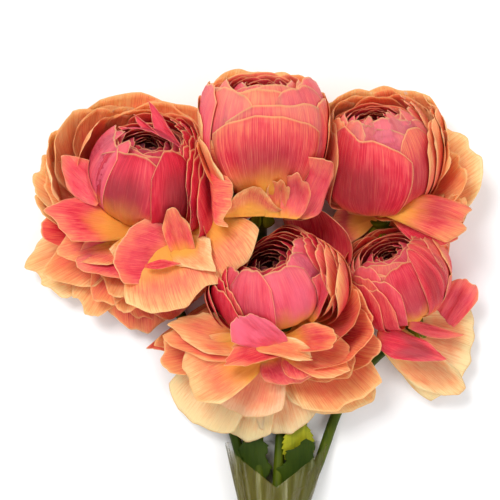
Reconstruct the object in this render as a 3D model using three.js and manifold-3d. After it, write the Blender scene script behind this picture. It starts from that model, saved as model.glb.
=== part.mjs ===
// A gathered bunch of five cut ranunculus blooms, laid down on a table.
//
// Millimetres, +Z up. X runs to the right and Y up the bunch as it is seen from above,
// so the flower heads lie at +Y and the cut stems at -Y. The table is z = 0.
// Every bloom is three solids: its tight ball of petals (heart), the open petals round
// and below the ball (skirt), and its green stem with sepals and leaves. A clear brown
// film sleeve holds the stems.
import * as THREE from "three";
import { mergeVertices } from "three/addons/utils/BufferGeometryUtils.js";
import Module from "manifold-3d";

const wasm = await Module();
wasm.setup();

// ---------------------------------------------------------------- driving dimensions
const BALL_RADIUS = { left: 28, crown: 33, right: 28, front: 26, small: 24.5 };
const PETAL_BLADE = 0.75; // thickness of an open petal here; the real tissue is thinner
const BALL_BLADE = 0.8; // thickness of a ball petal at its free rim
const BALL_TUCK = 0.045; // one edge of it stands out and the other tucks in, by this share
const STEM_RADIUS = 2.7;
const STEM_SIDES = 8;
const STEM_GAP = 0.35; // clear space round stems and sepals
const FOOT_DROP = 4; // how far below the ball its open petals are rooted
const COLLAR_RADIUS = 6; // the bowl narrows to a short collar over the stem
const COLLAR_DEPTH = 6;
const BED_RIM = 2.2; // width of the rim of the bowl that open petals are rooted in
const RUFF_ROOT = 1.14; // a ruff petal rises from this share of the ball's radius
const CUP_WALL = 0.86; // and inside a ring of the ball's petals its floor reaches this share
const SOCKET_SIDES = 12;
const CALYX_GAP = 0.35; // between the collar and the green calyx under it
const CALYX_RADIUS = 5.2;
const CALYX_DEPTH = 7;
const SEPALS = 5;
const LEAF_BLADE = 0.8;
const SOCKET_GAP = 0.4; // between a ball and the open petals round it
const BLOOM_GAP = 0.55; // each bloom keeps this far from the plane it shares
const HEART_SPARE = 0.25; // and its ball keeps this much more
const WALL_SOFTNESS = 7; // petals start to bend this far from such a plane
const TABLE_SOFTNESS = 1.2; // and this far from the table
const TABLE_DIP = 0.15; // petals that reach the table go this far under it, to be cut flat
const FILM = 0.8; // thickness of the film sleeve here
const ORIGIN = [3.357, -51.464]; // middle of the whole bunch, in the layout's X and Y

const COLOURS = {
  heart: { color: 0xe2566a, roughness: 0.5 },
  skirt: { color: 0xee9a63, roughness: 0.55 },
  stem: { color: 0x4c6a1c, roughness: 0.5 },
  sleeve: { color: 0x6f6a35, roughness: 0.25 },
};

// ---------------------------------------------------------------- the blooms
// axis points out of the bloom's opening. squat is the ball's height over its width.
// over: how far the blooms lie above the table where stems run below them.
// ruff: petals that still hug the ball, as [reach, azimuth, top, half width], where
// reach is a share of the ball's radius and the angles are degrees round and along it.
// skirt: open petals by the place of their tip.
const BLOOMS = [
  {
    name: "left",
    centre: [-52, 39, 35.9],
    axis: [0.14, 0.81, 0.57],
    squat: 0.92,
    turn: -28,
    rise: 6,
    over: 0,
    ruff: [
      [1.2, 84, 128, 38], [1.38, 150, 124, 46], [1.2, 212, 122, 42], [1.62, 188, 112, 46],
    ],
    skirt: [
      { tip: [-112, -4, 10], face: [0.1, 0.1, 1], width: 52, cup: 10 },
      { tip: [-112, 27, 22], face: [0.3, 0.3, 0.9], width: 50, cup: 40 },
      { tip: [-94, 6, 34], face: [0.2, 0.35, 0.9], width: 38, cup: 35, bow: 0.2 },
      { tip: [-60, -40, 12], face: [0, 0.1, 1], width: 46, cup: 10, bow: 0 },
      { tip: [-34, -38, 16], face: [0, 0.1, 1], width: 50, cup: 10, bow: 0 },
      { tip: [-41, -20, 32], face: [0, 0.3, 1], width: 50, cup: 20 },
      { tip: [12, 18, 46], face: [0, 0.1, 1], width: 36, cup: 10 },
      { tip: [-62, -17, 46], face: [-0.3, 0.2, 0.9], width: 32, cup: 30, bow: 0.15 },
      { tip: [-14, 4, 48], face: [-0.5, 0.2, 0.8], width: 30, cup: 40, bow: 0.12 },
    ],
  },
  {
    name: "crown",
    centre: [6, 61, 38],
    axis: [0, 0.95, 0.31],
    squat: 1.08,
    turn: 0,
    rise: 2,
    over: 0,
    ruff: [[1.2, 180, 122, 46]],
    skirt: [
      { tip: [-22, 38, 58], face: [0.8, 0.6, -0.1], width: 40, cup: 50, bow: 0.2 },
      { tip: [-8, 26, 62], face: [0.2, 1, 0], width: 32, cup: 50, bow: 0.3 },
      { tip: [36, 34, 62], face: [-0.6, 0.8, 0.2], width: 40, cup: 60, bow: 0.26 },
      { tip: [8, 13, 40], face: [0, 0.4, 0.9], width: 64, cup: 30 },
    ],
  },
  {
    name: "right",
    centre: [63, 47, 36],
    axis: [-0.1, 0.86, 0.48],
    squat: 1.05,
    turn: 10,
    rise: 12,
    over: 0,
    ruff: [[1.2, 74, 126, 42], [1.36, 142, 122, 44], [1.34, 202, 124, 42]],
    skirt: [
      { tip: [111, 52, 28], face: [-0.3, 0.1, 1], width: 46, cup: 25 },
      { tip: [103, 48, 40], face: [-0.6, 0.1, 1], width: 34, cup: 40, bow: 0.2 },
      { tip: [104, 8, 50], face: [0, 0.3, 1], width: 44, cup: 20, ruffle: 2 },
      { tip: [108, 22, 30], face: [-0.2, 0.1, 1], width: 28, cup: 20 },
      { tip: [84, 8, 40], face: [0, 0.3, 1], width: 44, cup: 10, ruffle: 2 },
    ],
  },
  {
    name: "front",
    centre: [11, -14, 42],
    axis: [-0.2, 0.76, 0.62],
    squat: 0.92,
    turn: 5,
    rise: 4,
    over: 9,
    ruff: [
      [1.2, -70, 122, 42], [1.2, 68, 128, 38], [1.36, 92, 124, 42], [1.52, 96, 118, 44],
      [1.24, 180, 124, 46],
    ],
    skirt: [
      { tip: [-58, -48, 26], face: [0.1, 0.1, 1], width: 42, cup: 20 },
      { tip: [-27, -92, 12], face: [0, 0.1, 1], width: 58, cup: -10, bow: 0 },
      { tip: [22, -94, 14], face: [0, 0.1, 1], width: 46, cup: -10, bow: 0 },
      { tip: [64, -74, 22], face: [-0.1, 0.2, 1], width: 52, cup: 10, bow: 0.05 },
      { tip: [-22, -67, 34], face: [0.1, 0.3, 1], width: 42, cup: 35, bow: 0.15 },
      { tip: [56, -69, 34], face: [-0.1, 0.2, 1], width: 46, cup: 25, bow: 0.15 },
      { tip: [64, -42, 44], face: [-0.4, 0.1, 0.9], width: 54, cup: 40, bow: 0.2 },
    ],
  },
  {
    name: "small",
    centre: [73, -13, 34],
    axis: [-0.35, 0.8, 0.48],
    squat: 0.92,
    turn: 15,
    rise: 10,
    over: 7,
    ruff: [[1.2, -70, 122, 42], [1.2, 190, 124, 46]],
    skirt: [
      { tip: [114, -60, 14], face: [0, 0.1, 1], width: 58, cup: -20, bow: -0.05 },
      { tip: [76, -53, 30], face: [0, 0.2, 1], width: 36, cup: -30, bow: -0.1 },
      { tip: [101, -77, 20], face: [0, 0.1, 1], width: 28, cup: -30, bow: -0.08 },
      { tip: [113, -15, 22], face: [0, 0, 1], width: 20, cup: 15, bow: 0 },
    ],
  },
];

// The tight ball: rings of petals, from the outside in. share is of the ball's radius, top
// and start are angles up from the foot, and deep is how far the cup inside the rim falls.
const BALL_RINGS = [
  { share: 1.0, start: 34, top: 118, count: 5, turn: 0, sink: 0, cells: 3, rows: 4, deep: 16 },
  { share: 0.87, start: 84, top: 131, count: 5, turn: 34, sink: 0, cells: 2, rows: 2, deep: 16 },
  { share: 0.69, start: 98, top: 141, count: 4, turn: 8, sink: 1, cells: 2, rows: 1, deep: 18 },
  { share: 0.45, start: 110, top: 150, count: 3, turn: 40, sink: 2.4, cells: 3, rows: 1, deep: 24 },
];
const RIM_DROP = 15; // degrees that a petal's rim falls from its middle to its edges
const EDGE_SLANT = 1; // degrees over which one petal steps down to the next

// Two blooms that touch share a plane, as [over it, under it, point, normal to the first].
const BETWEEN = [
  ["left", "crown", [-21, 41, 40], [-0.97, -0.22, 0.05]],
  ["crown", "right", [38, 50, 36], [-0.94, 0.05, 0.34]],
  ["left", "front", [3, 8, 49], [-0.65, 0.73, -0.2]],
  ["crown", "front", [11, 12, 50], [0, 0.95, 0.3]],
  ["right", "front", [32, 14, 44], [0.55, 0.8, 0.2]],
  ["front", "small", [55, -22, 47], [-0.72, -0.45, 0.53]],
  ["right", "small", [73, 13, 42], [0, 0.93, 0.3]],
];

// Each stem's way from its bloom to the cut end. The calyx under the bloom comes first.
const NECK_Y = -160;
const STEM_WAYS = {
  left: [
    [-50, 0, 9], [-38, -30, 3.7], [-11, -88, 4], [-2, -120, 4.8], [8, NECK_Y, 5.8], [9, -192, 4.6],
  ],
  crown: [
    [6, 8, 9], [4, -12, 3.7], [4, -60, 3.7], [4.5, -112, 7.4], [5.2, -138, 11.4],
    [6, NECK_Y, 11.8], [2, -190, 13],
  ],
  right: [
    [64, 4, 8], [58, -14, 3.7], [44, -45, 3.7], [31, -72, 3.8], [24, -112, 4.8],
    [14.4, NECK_Y, 5.8], [16, -194, 4.8],
  ],
  front: [
    [20, -52, 12], [18, -68, 4.4], [16, -95, 5.4], [14, -125, 10.8], [11, NECK_Y, 15.6],
    [10.5, -196, 17],
  ],
  small: [
    [72, -50, 8], [60, -62, 4.2], [48, -79, 4.2], [36, -110, 7], [16.4, NECK_Y, 11.8],
    [21, -188, 12.6],
  ],
};

// Leaves that rise from a stem inside the sleeve, as root, tip, facing and width.
const LEAVES = {
  crown: [{ base: [5, -126, 7.5], tip: [0, -92, 10.5], face: [0, 0.1, 1], width: 17, lobes: 3 }],
  right: [
    { base: [22, -124, 6], tip: [27, -93, 12.5], face: [0, 0.1, 1], width: 14, lobes: 3 },
    { base: [27, -112, 5], tip: [25.5, -84, 7.6], face: [0.2, 0, 1], width: 10, lobes: 1 },
  ],
};

// The sleeve's cross sections, as [y, middle x, half width, height].
const SLEEVE_SECTIONS = [
  [-100, 14.5, 31.2, 23],
  [-120, 14.5, 24, 22],
  [NECK_Y, 11, 10.2, 20.6],
  [-170, 11, 10.8, 21],
  [-182, 11, 13.5, 22.5],
];
const SLEEVE_SIDES = 16;
const SLEEVE_BOXED = 0.62; // under 1 the section fills its corners more than an ellipse
const SLEEVE_FLAT = 1.1; // the section is drawn this much too tall, then cut flat
const SLEEVE_DIP = 21; // how far the rim dips to its V in front

// ---------------------------------------------------------------- small vector helpers
const vec = (a) => new THREE.Vector3(a[0], a[1], a[2]);
const radians = THREE.MathUtils.degToRad;
const smooth = (x, a, b) => THREE.MathUtils.smoothstep(x, a, b);

// Three directions of a bloom: along its axis, towards the viewer, and to the right.
function bloomAxes(axis) {
  const along = vec(axis).normalize();
  const front = new THREE.Vector3(0, 0, 1).addScaledVector(along, -along.z).normalize();
  const right = along.clone().cross(front);
  return { along, front, right };
}

// A point is pressed back softly from every plane it comes near, and never crosses one.
function press(point, walls) {
  for (const wall of walls) {
    const depth = point.clone().sub(wall.point).dot(wall.normal);
    if (depth < wall.softness) {
      const pressed = wall.softness * Math.exp((depth - wall.softness) / wall.softness);
      point.addScaledVector(wall.normal, pressed - depth);
    }
  }
  return point;
}

function wallsOf(bloom, spare) {
  const table = new THREE.Vector3(0, 0, bloom.over + spare - TABLE_DIP);
  const walls = [{ point: table, normal: new THREE.Vector3(0, 0, 1), softness: TABLE_SOFTNESS }];
  for (const [above, below, point, normal] of BETWEEN) {
    const side = { [above]: 1, [below]: -1 }[bloom.name];
    if (side) {
      const inward = vec(normal).normalize().multiplyScalar(side);
      const place = vec(point).addScaledVector(inward, BLOOM_GAP / 2 + spare);
      walls.push({ point: place, normal: inward, softness: WALL_SOFTNESS });
    }
  }
  return walls;
}

// ---------------------------------------------------------------- closed solids from grids
// rows of points become one closed blade: a front, a back and the strip round the rim.
function blade(front, back) {
  const rows = front.length;
  const columns = front[0].length;
  const points = [...front.flat(), ...back.flat()];
  const offset = rows * columns;
  const at = (row, column) => row * columns + column;
  const index = [];
  const quad = (a, b, c, d) => index.push(a, b, c, a, c, d);
  for (let row = 0; row < rows - 1; row += 1) {
    for (let column = 0; column < columns - 1; column += 1) {
      const [a, b] = [at(row, column), at(row, column + 1)];
      const [c, d] = [at(row + 1, column + 1), at(row + 1, column)];
      quad(a, b, c, d);
      index.push(offset + c, offset + b, offset + a, offset + d, offset + c, offset + a);
    }
  }
  const rim = [];
  for (let column = 0; column < columns; column += 1) rim.push(at(0, column));
  for (let row = 1; row < rows; row += 1) rim.push(at(row, columns - 1));
  for (let column = columns - 2; column >= 0; column -= 1) rim.push(at(rows - 1, column));
  for (let row = rows - 2; row > 0; row -= 1) rim.push(at(row, 0));
  rim.forEach((here, i) => {
    const next = rim[(i + 1) % rim.length];
    quad(offset + here, offset + next, next, here);
  });
  return solidOf(points, index);
}

// A closed tube-like solid from rings of points that run the same way round.
function ringSolid(rings, start, end) {
  const sides = rings[0].length;
  const points = [...rings.flat(), start, end];
  const index = [];
  const first = points.length - 2;
  const last = points.length - 1;
  for (let ring = 0; ring < rings.length - 1; ring += 1) {
    for (let side = 0; side < sides; side += 1) {
      const next = (side + 1) % sides;
      const a = ring * sides + side;
      const b = ring * sides + next;
      index.push(a, b, b + sides, a, b + sides, a + sides);
    }
  }
  for (let side = 0; side < sides; side += 1) {
    const next = (side + 1) % sides;
    const top = (rings.length - 1) * sides;
    index.push(first, next, side, last, top + side, top + next);
  }
  return solidOf(points, index);
}

// A closed ring-shaped solid from loops of points that follow each other all the way round.
function loopSolid(loops) {
  const size = loops[0].length;
  const index = [];
  loops.forEach((_, here) => {
    const after = ((here + 1) % loops.length) * size;
    for (let i = 0; i < size; i += 1) {
      const next = (i + 1) % size;
      const [a, b] = [here * size + i, here * size + next];
      index.push(a, b, after + next, a, after + next, after + i);
    }
  });
  return solidOf(loops.flat(), index);
}

function signedVolume(points, index) {
  let volume = 0;
  for (let i = 0; i < index.length; i += 3) {
    const [a, b, c] = [points[index[i]], points[index[i + 1]], points[index[i + 2]]];
    volume += a.dot(b.clone().cross(c)) / 6;
  }
  return volume;
}

function solidOf(points, index) {
  const turned = signedVolume(points, index) < 0 ? index.toReversed() : index;
  const places = new Float32Array(points.flatMap((p) => [p.x, p.y, p.z]));
  const triVerts = new Uint32Array(turned);
  const mesh = new wasm.Mesh({ numProp: 3, vertProperties: places, triVerts });
  mesh.merge();
  return new wasm.Manifold(mesh);
}

function solidOfGeometry(geometry) {
  geometry.deleteAttribute("normal");
  geometry.deleteAttribute("uv");
  const merged = mergeVertices(geometry, 1e-4);
  const places = merged.attributes.position;
  const pointAt = (_, i) => new THREE.Vector3().fromBufferAttribute(places, i);
  const points = Array.from({ length: places.count }, pointAt);
  return solidOf(points, Array.from(merged.index.array));
}

function middleOf(points) {
  return points.reduce((sum, p) => sum.add(p), new THREE.Vector3()).divideScalar(points.length);
}

const joined = (solids) => solids.reduce((all, one) => all.add(one));

// Only the largest body stays: loose scraps go, and a hollow sealed by joining is filled.
function largest(solid) {
  const bodies = solid.decompose();
  return bodies.reduce((best, body) => (body.volume() > best.volume() ? body : best));
}

// ---------------------------------------------------------------- petals
// u runs -1 to 1 across a petal and t runs 0 to 1 from its root to its rim.
function grid(across, along, place) {
  const rows = [];
  for (let j = 0; j <= along; j += 1) {
    const row = [];
    for (let i = 0; i <= across; i += 1) row.push(place((2 * i) / across - 1, j / along));
    rows.push(row);
  }
  return rows;
}

// Unit normals of a grid of points, from the differences of its neighbours.
function gridNormals(rows) {
  const last = rows.length - 1;
  const end = rows[0].length - 1;
  return rows.map((row, j) => row.map((_, i) => {
    const across = rows[j][Math.min(i + 1, end)].clone().sub(rows[j][Math.max(i - 1, 0)]);
    const along = rows[Math.min(j + 1, last)][i].clone().sub(rows[Math.max(j - 1, 0)][i]);
    return across.cross(along).normalize();
  }));
}

function shifted(rows, normals, by) {
  return rows.map((row, j) => row.map((p, i) => p.clone().addScaledVector(normals[j][i], by)));
}

// How a petal widens from its narrow claw to its full breadth.
const widen = (t, claw) => claw + (1 - claw) * (1 - (1 - t) ** 1.8);

// An open petal: its middle line is a quadratic curve from root to tip that sags away from
// the way it faces, and each line across it is an arc. The rim may be ruffled or curled.
function openPetal(petal, root, walls, thickness, spare = 0, cells = [3, 3]) {
  const { tip, face, width, cup, bow = 0.14, curl = 0, ruffle = 0 } = petal;
  const base = root.clone();
  const end = vec(tip);
  const line = end.clone().sub(base);
  const length = line.length();
  const along = line.clone().normalize();
  const up = vec(face).normalize();
  up.addScaledVector(along, -up.dot(along)).normalize();
  const middle = base.clone().add(end).multiplyScalar(0.5).addScaledVector(up, -2 * bow * length);
  const half = width / 2 + spare;
  const place = (u, t) => {
    const k = t * (1 - 0.32 * Math.abs(u) ** 3);
    const centre = base.clone().multiplyScalar((1 - k) ** 2);
    centre.addScaledVector(middle, 2 * k * (1 - k)).addScaledVector(end, k * k);
    const tangent = middle.clone().sub(base).multiplyScalar(1 - k);
    tangent.addScaledVector(end.clone().sub(middle), k).normalize();
    const normal = up.clone().addScaledVector(tangent, -up.dot(tangent)).normalize();
    const side = tangent.clone().cross(normal);
    const across = half * u * widen(t, 0.12);
    const bend = (radians(cup) / half) * smooth(k, 0, 0.5) + 1e-6;
    const edge = Math.max(t ** 3, Math.abs(u) ** 3 * t);
    let height = (1 - Math.cos(bend * across)) / bend;
    height += ruffle * Math.sin(2 * Math.PI * u + 0.6 + 1.3 * t) * edge;
    height -= curl * smooth(t, 0.6, 1) ** 1.5;
    centre.addScaledVector(side, Math.sin(bend * across) / bend).addScaledVector(normal, height);
    return press(centre, walls);
  };
  const rows = grid(...cells, place);
  const normals = gridNormals(rows);
  return blade(shifted(rows, normals, thickness / 2), shifted(rows, normals, -thickness / 2));
}

// A petal wrapped on the bloom's ball, like a strip of a squashed globe from its foot up.
function ballPoint(bloom, azimuth, angle, reach, sink = 0) {
  const { along, front, right } = bloom.frame;
  const ring = reach * Math.sin(angle);
  const up = -reach * Math.cos(angle) * bloom.squat - sink;
  return bloom.middle.clone()
    .addScaledVector(front, ring * Math.cos(azimuth))
    .addScaledVector(right, ring * Math.sin(azimuth))
    .addScaledVector(along, up);
}

// One ring of the ball's petals as a closed cup. Each petal stands proud of the next at one
// edge and tucks under its neighbour at the other. Its rim is rounded, and inside the rim
// the cup falls to a floor that the next ring rises from.
function petalRing(bloom, ring, walls) {
  const { share, count, cells, rows, sink, deep } = ring;
  const low = radians(ring.start);
  const rings = Array.from({ length: rows + 3 }, () => []);
  for (let column = 0; column < count * (cells + 1); column += 1) {
    const petal = Math.floor(column / (cells + 1));
    const u = (2 * (column % (cells + 1))) / cells - 1;
    const azimuth = bloom.turn + ring.turn + (360 * petal) / count;
    const lon = radians(azimuth + u * (180 / count - EDGE_SLANT));
    const high = radians(ring.top + bloom.rise - RIM_DROP * Math.abs(u) ** 2.5);
    const outer = bloom.radius * share * (1 + BALL_TUCK * u);
    const at = (angle, reach) => press(ballPoint(bloom, lon, angle, reach, sink), walls);
    for (let row = 0; row <= rows; row += 1) {
      rings[row].push(at(low + ((high - low) * row) / rows, outer));
    }
    rings[rows + 1].push(at(high, outer - BALL_BLADE));
    rings[rows + 2].push(at(radians(ring.top + bloom.rise - deep), bloom.radius * share * CUP_WALL));
  }
  const bottom = share < 1 ? bloom.middle.clone() : ballPoint(bloom, 0, 0, bloom.radius * 0.95);
  const floor = middleOf(rings.at(-1)).addScaledVector(bloom.frame.along, -1);
  return ringSolid(rings, press(bottom, walls), floor);
}

function ruffPetal(bloom, [reach, azimuth, top, half], walls) {
  const start = radians(36);
  const place = (u, t) => {
    const high = radians(top - 24 * Math.abs(u) ** 3);
    const lon = radians(azimuth) + radians(half) * u * widen(t, 0.3);
    const share = RUFF_ROOT + (reach - RUFF_ROOT) * smooth(t, 0, 0.6);
    const radius = bloom.radius * share * (1 + 0.01 * u * t);
    return press(ballPoint(bloom, lon, start + (high - start) * t, radius), walls);
  };
  const rows = grid(4, 3, place);
  const normals = gridNormals(rows);
  return blade(shifted(rows, normals, PETAL_BLADE / 2), shifted(rows, normals, -PETAL_BLADE / 2));
}

// ---------------------------------------------------------------- hearts and skirts
function heart(bloom) {
  const walls = wallsOf(bloom, HEART_SPARE);
  return largest(joined(BALL_RINGS.map((ring) => petalRing(bloom, ring, walls))));
}

// Rings of points round the bloom's axis, from pairs of how far out and how far down.
function turnedRings(bloom, profile, sides) {
  const { along, front, right } = bloom.frame;
  return profile.map(([reach, down]) => Array.from({ length: sides }, (_, i) => {
    const azimuth = (2 * Math.PI * i) / sides;
    return bloom.middle.clone().addScaledVector(along, -down)
      .addScaledVector(front, reach * Math.cos(azimuth))
      .addScaledVector(right, reach * Math.sin(azimuth));
  }));
}

// The space kept free for the ball: how far out and down its surface is at an angle.
function socketProfile(bloom, angles) {
  const reach = bloom.radius * (1 + BALL_TUCK) + SOCKET_GAP;
  return angles.map((angle) => {
    const out = (reach * Math.sin(radians(angle))) / Math.cos(Math.PI / SOCKET_SIDES);
    return [out, reach * Math.cos(radians(angle)) * bloom.squat * 1.02];
  });
}

function socket(bloom) {
  const rings = turnedRings(bloom, socketProfile(bloom, [22, 45, 68, 90, 112, 135, 158]), SOCKET_SIDES);
  const reach = bloom.radius * (1 + BALL_TUCK) + SOCKET_GAP;
  return ringSolid(rings, ballPoint(bloom, 0, 0, reach * 1.02), ballPoint(bloom, 0, Math.PI, reach * 1.02));
}

// The bed under the ball that every open petal is rooted in: a turned bowl.
function bed(bloom) {
  const depth = bloom.radius * bloom.squat;
  const [rim, inner] = socketProfile(bloom, [42, 20]);
  const profile = [
    [COLLAR_RADIUS - 1.6, depth + COLLAR_DEPTH], [COLLAR_RADIUS, depth + 2.8],
    [rim[0] * 0.8, depth - 0.5], [rim[0] + BED_RIM, rim[1] + 1], rim, inner,
  ];
  const middles = [depth + COLLAR_DEPTH, depth * (1 + BALL_TUCK) * 1.02 + SOCKET_GAP];
  const ends = middles.map((down) => bloom.middle.clone().addScaledVector(bloom.frame.along, -down));
  return ringSolid(turnedRings(bloom, profile, SOCKET_SIDES), ends[0], ends[1]);
}

// The green calyx: a short cone on the bloom's axis, between two depths under its ball.
function calyx(bloom, from, to, grow) {
  const [wide, narrow] = [CALYX_RADIUS + grow, STEM_RADIUS + grow];
  const geometry = new THREE.CylinderGeometry(wide, narrow, to - from, STEM_SIDES);
  geometry.translate(0, -(from + to) / 2, 0);
  const turn = new THREE.Quaternion().setFromUnitVectors(new THREE.Vector3(0, 1, 0), bloom.frame.along);
  geometry.applyQuaternion(turn).translate(bloom.middle.x, bloom.middle.y, bloom.middle.z);
  return solidOfGeometry(geometry);
}

function skirt(bloom, stemSpace) {
  const walls = wallsOf(bloom, PETAL_BLADE / 2);
  const solids = [bed(bloom)];
  const hollow = socket(bloom);
  for (const petal of bloom.ruff) solids.push(ruffPetal(bloom, petal, walls).subtract(hollow));
  for (const petal of bloom.skirt) {
    solids.push(openPetal(petal, bloom.foot, walls, PETAL_BLADE).subtract(hollow));
  }
  return largest(joined(solids).subtract(stemSpace).trimByPlane([0, 0, 1], 0));
}

// ---------------------------------------------------------------- stems
function tube(points, radius, sides) {
  const curve = new THREE.CatmullRomCurve3(points, false, "centripetal");
  const section = new THREE.Shape();
  for (let i = 0; i <= sides; i += 1) {
    const angle = (2 * Math.PI * i) / sides;
    section[i ? "lineTo" : "moveTo"](radius * Math.cos(angle), radius * Math.sin(angle));
  }
  const steps = Math.round(curve.getLength() / 15);
  return solidOfGeometry(new THREE.ExtrudeGeometry(section, { steps, extrudePath: curve }));
}

// grow swells every green piece by the clear space that petals keep to it.
function stem(bloom, grow = 0) {
  const { along, front, right } = bloom.frame;
  const top = bloom.radius * bloom.squat + COLLAR_DEPTH + CALYX_GAP;
  const under = (distance) => bloom.middle.clone().addScaledVector(along, -distance);
  const way = [under(top + 2), under(top + CALYX_DEPTH), ...STEM_WAYS[bloom.name].map(vec)];
  const solids = [
    tube(way, STEM_RADIUS + grow, STEM_SIDES),
    calyx(bloom, top - grow, top + CALYX_DEPTH + grow, grow),
  ];
  for (let i = 0; i < SEPALS; i += 1) {
    const azimuth = (2 * Math.PI * (i + 0.5)) / SEPALS;
    const out = front.clone().multiplyScalar(Math.cos(azimuth));
    out.addScaledVector(right, Math.sin(azimuth));
    const root = under(top + 2.4).addScaledVector(out, 2.5);
    const tip = under(top + 9).addScaledVector(out, 5.5 + grow);
    const face = out.clone().add(along).toArray();
    const sepal = { tip: tip.toArray(), face, width: 7, bow: -0.1, cup: 20 };
    solids.push(openPetal(sepal, root, [], LEAF_BLADE + 2 * grow, grow, [2, 1]));
  }
  for (const leaf of LEAVES[bloom.name] ?? []) solids.push(openLeaf(leaf, grow));
  return largest(joined(solids));
}

// A leaf blade with lobes: its breadth swells and draws in along its length.
function openLeaf({ base, tip, face, width, lobes }, grow) {
  const [start, end] = [vec(base), vec(tip)];
  const along = end.clone().sub(start).normalize();
  const up = vec(face).addScaledVector(along, -vec(face).dot(along)).normalize();
  const side = along.clone().cross(up);
  const length = end.distanceTo(start);
  const place = (u, t) => {
    const body = Math.sin(Math.PI * (0.08 + 0.86 * t)) ** 0.8;
    const lobe = 1 - 0.3 * Math.sin(Math.PI * lobes * t) ** 2 * (lobes > 1);
    const across = u * (width / 2) * body * lobe + u * grow;
    const droop = -0.9 * Math.abs(u) * body;
    return start.clone().addScaledVector(along, t * (length + grow))
      .addScaledVector(side, across).addScaledVector(up, droop + 1.2 * Math.sin(Math.PI * t));
  };
  const rows = grid(2, 2 * lobes + 1, place);
  const normals = gridNormals(rows);
  const half = LEAF_BLADE / 2 + grow;
  return blade(shifted(rows, normals, half), shifted(rows, normals, -half));
}

// ---------------------------------------------------------------- sleeve
// The film lies in a flat-bottomed tube round the stems, pinched where it is tied.
// Its upper rim dips to a V in front, where the two edges of the film meet.
function sleeve() {
  const boxed = (s) => Math.sign(s) * Math.abs(s) ** SLEEVE_BOXED;
  const isFront = (angle) => Math.sin(angle) > 0;
  const dip = (angle) => isFront(angle) * SLEEVE_DIP * (1 - Math.abs(boxed(Math.cos(angle))));
  const section = ([y, x, half, height], inset, isRim) => {
    const corner = (_, i) => {
      const angle = (2 * Math.PI * i) / SLEEVE_SIDES;
      const across = (half - inset) * boxed(Math.cos(angle));
      const z = height / 2 + (height / 2 - inset) * boxed(Math.sin(angle)) * SLEEVE_FLAT;
      const reach = y - (isRim ? dip(angle) : 0);
      return new THREE.Vector3(x + across, reach, THREE.MathUtils.clamp(z, inset, height - inset));
    };
    return Array.from({ length: SLEEVE_SIDES }, corner);
  };
  const outer = SLEEVE_SECTIONS.map((s, i) => section(s, 0, i === 0));
  const inner = SLEEVE_SECTIONS.map((s, i) => section(s, FILM, i === 0));
  return loopSolid([...outer, ...inner.toReversed()]);
}

// ---------------------------------------------------------------- the scene graph
function geometryOf(solid) {
  const mesh = solid.getMesh();
  const geometry = new THREE.BufferGeometry();
  const places = new Float32Array(mesh.numVert * 3);
  for (let i = 0; i < mesh.numVert; i += 1) {
    const start = i * mesh.numProp;
    places.set(mesh.vertProperties.subarray(start, start + 3), 3 * i);
  }
  geometry.setAttribute("position", new THREE.BufferAttribute(places, 3));
  geometry.setIndex(new THREE.BufferAttribute(new Uint32Array(mesh.triVerts), 1));
  return geometry;
}

function piece(name, solid, look) {
  const material = new THREE.MeshStandardMaterial({ ...COLOURS[look], metalness: 0 });
  const mesh = new THREE.Mesh(geometryOf(solid), material);
  mesh.name = name;
  return mesh;
}

for (const bloom of BLOOMS) {
  bloom.radius = BALL_RADIUS[bloom.name];
  bloom.middle = vec(bloom.centre);
  bloom.frame = bloomAxes(bloom.axis);
  const drop = bloom.radius * bloom.squat + FOOT_DROP;
  bloom.foot = bloom.middle.clone().addScaledVector(bloom.frame.along, -drop);
}

const stemSpace = joined(BLOOMS.map((bloom) => stem(bloom, STEM_GAP)));
const group = new THREE.Group();
for (const bloom of BLOOMS) {
  group.add(piece(`${bloom.name}_heart`, heart(bloom), "heart"));
  group.add(piece(`${bloom.name}_skirt`, skirt(bloom, stemSpace), "skirt"));
  group.add(piece(`${bloom.name}_stem`, stem(bloom), "stem"));
}
group.add(piece("film_sleeve", sleeve(), "sleeve"));
group.position.set(-ORIGIN[0], -ORIGIN[1], 0);

export default group;
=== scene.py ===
# %% [markdown]
# # A gathered bunch of ranunculus, lying on a table
#
# Five blooms, each with a tight ball of petals, loose petals round and under it, and a
# green stem. A clear brown film holds the stems together. Everything is measured in
# millimetres on the same plan as the solids, then moved and scaled once at the end:
# X runs to the right and Y up the bunch as it is seen from above, and the table is z = 0.
#
# The first step loads the solid model. It is the frame that every new piece is laid into.

# %% Load the frame
import math

import bpy
import numpy as np
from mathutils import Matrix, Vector


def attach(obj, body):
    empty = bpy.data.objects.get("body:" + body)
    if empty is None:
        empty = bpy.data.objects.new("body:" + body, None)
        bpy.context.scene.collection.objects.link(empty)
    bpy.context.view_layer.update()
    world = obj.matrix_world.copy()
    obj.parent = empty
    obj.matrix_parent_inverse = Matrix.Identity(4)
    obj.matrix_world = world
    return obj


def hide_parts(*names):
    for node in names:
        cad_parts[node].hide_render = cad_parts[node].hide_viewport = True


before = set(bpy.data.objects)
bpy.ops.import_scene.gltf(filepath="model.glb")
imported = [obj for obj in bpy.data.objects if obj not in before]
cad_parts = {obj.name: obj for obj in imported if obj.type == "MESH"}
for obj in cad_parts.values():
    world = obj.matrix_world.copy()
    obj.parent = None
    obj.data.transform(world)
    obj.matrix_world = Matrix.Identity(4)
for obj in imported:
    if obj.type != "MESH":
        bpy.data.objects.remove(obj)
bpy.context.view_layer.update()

MM = 0.001
ORIGIN = np.array([3.357, -51.464, 0.0])  # middle of the bunch on the plan, in mm

# %% [markdown]
# ## The camera
#
# The photo looks straight down on the bunch. A long lens from high above keeps the near
# petals from swelling, so the camera hangs 700 mm over the blooms and its picture is
# 250 mm wide there. It looks down by itself when its rotation is zero.

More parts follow.
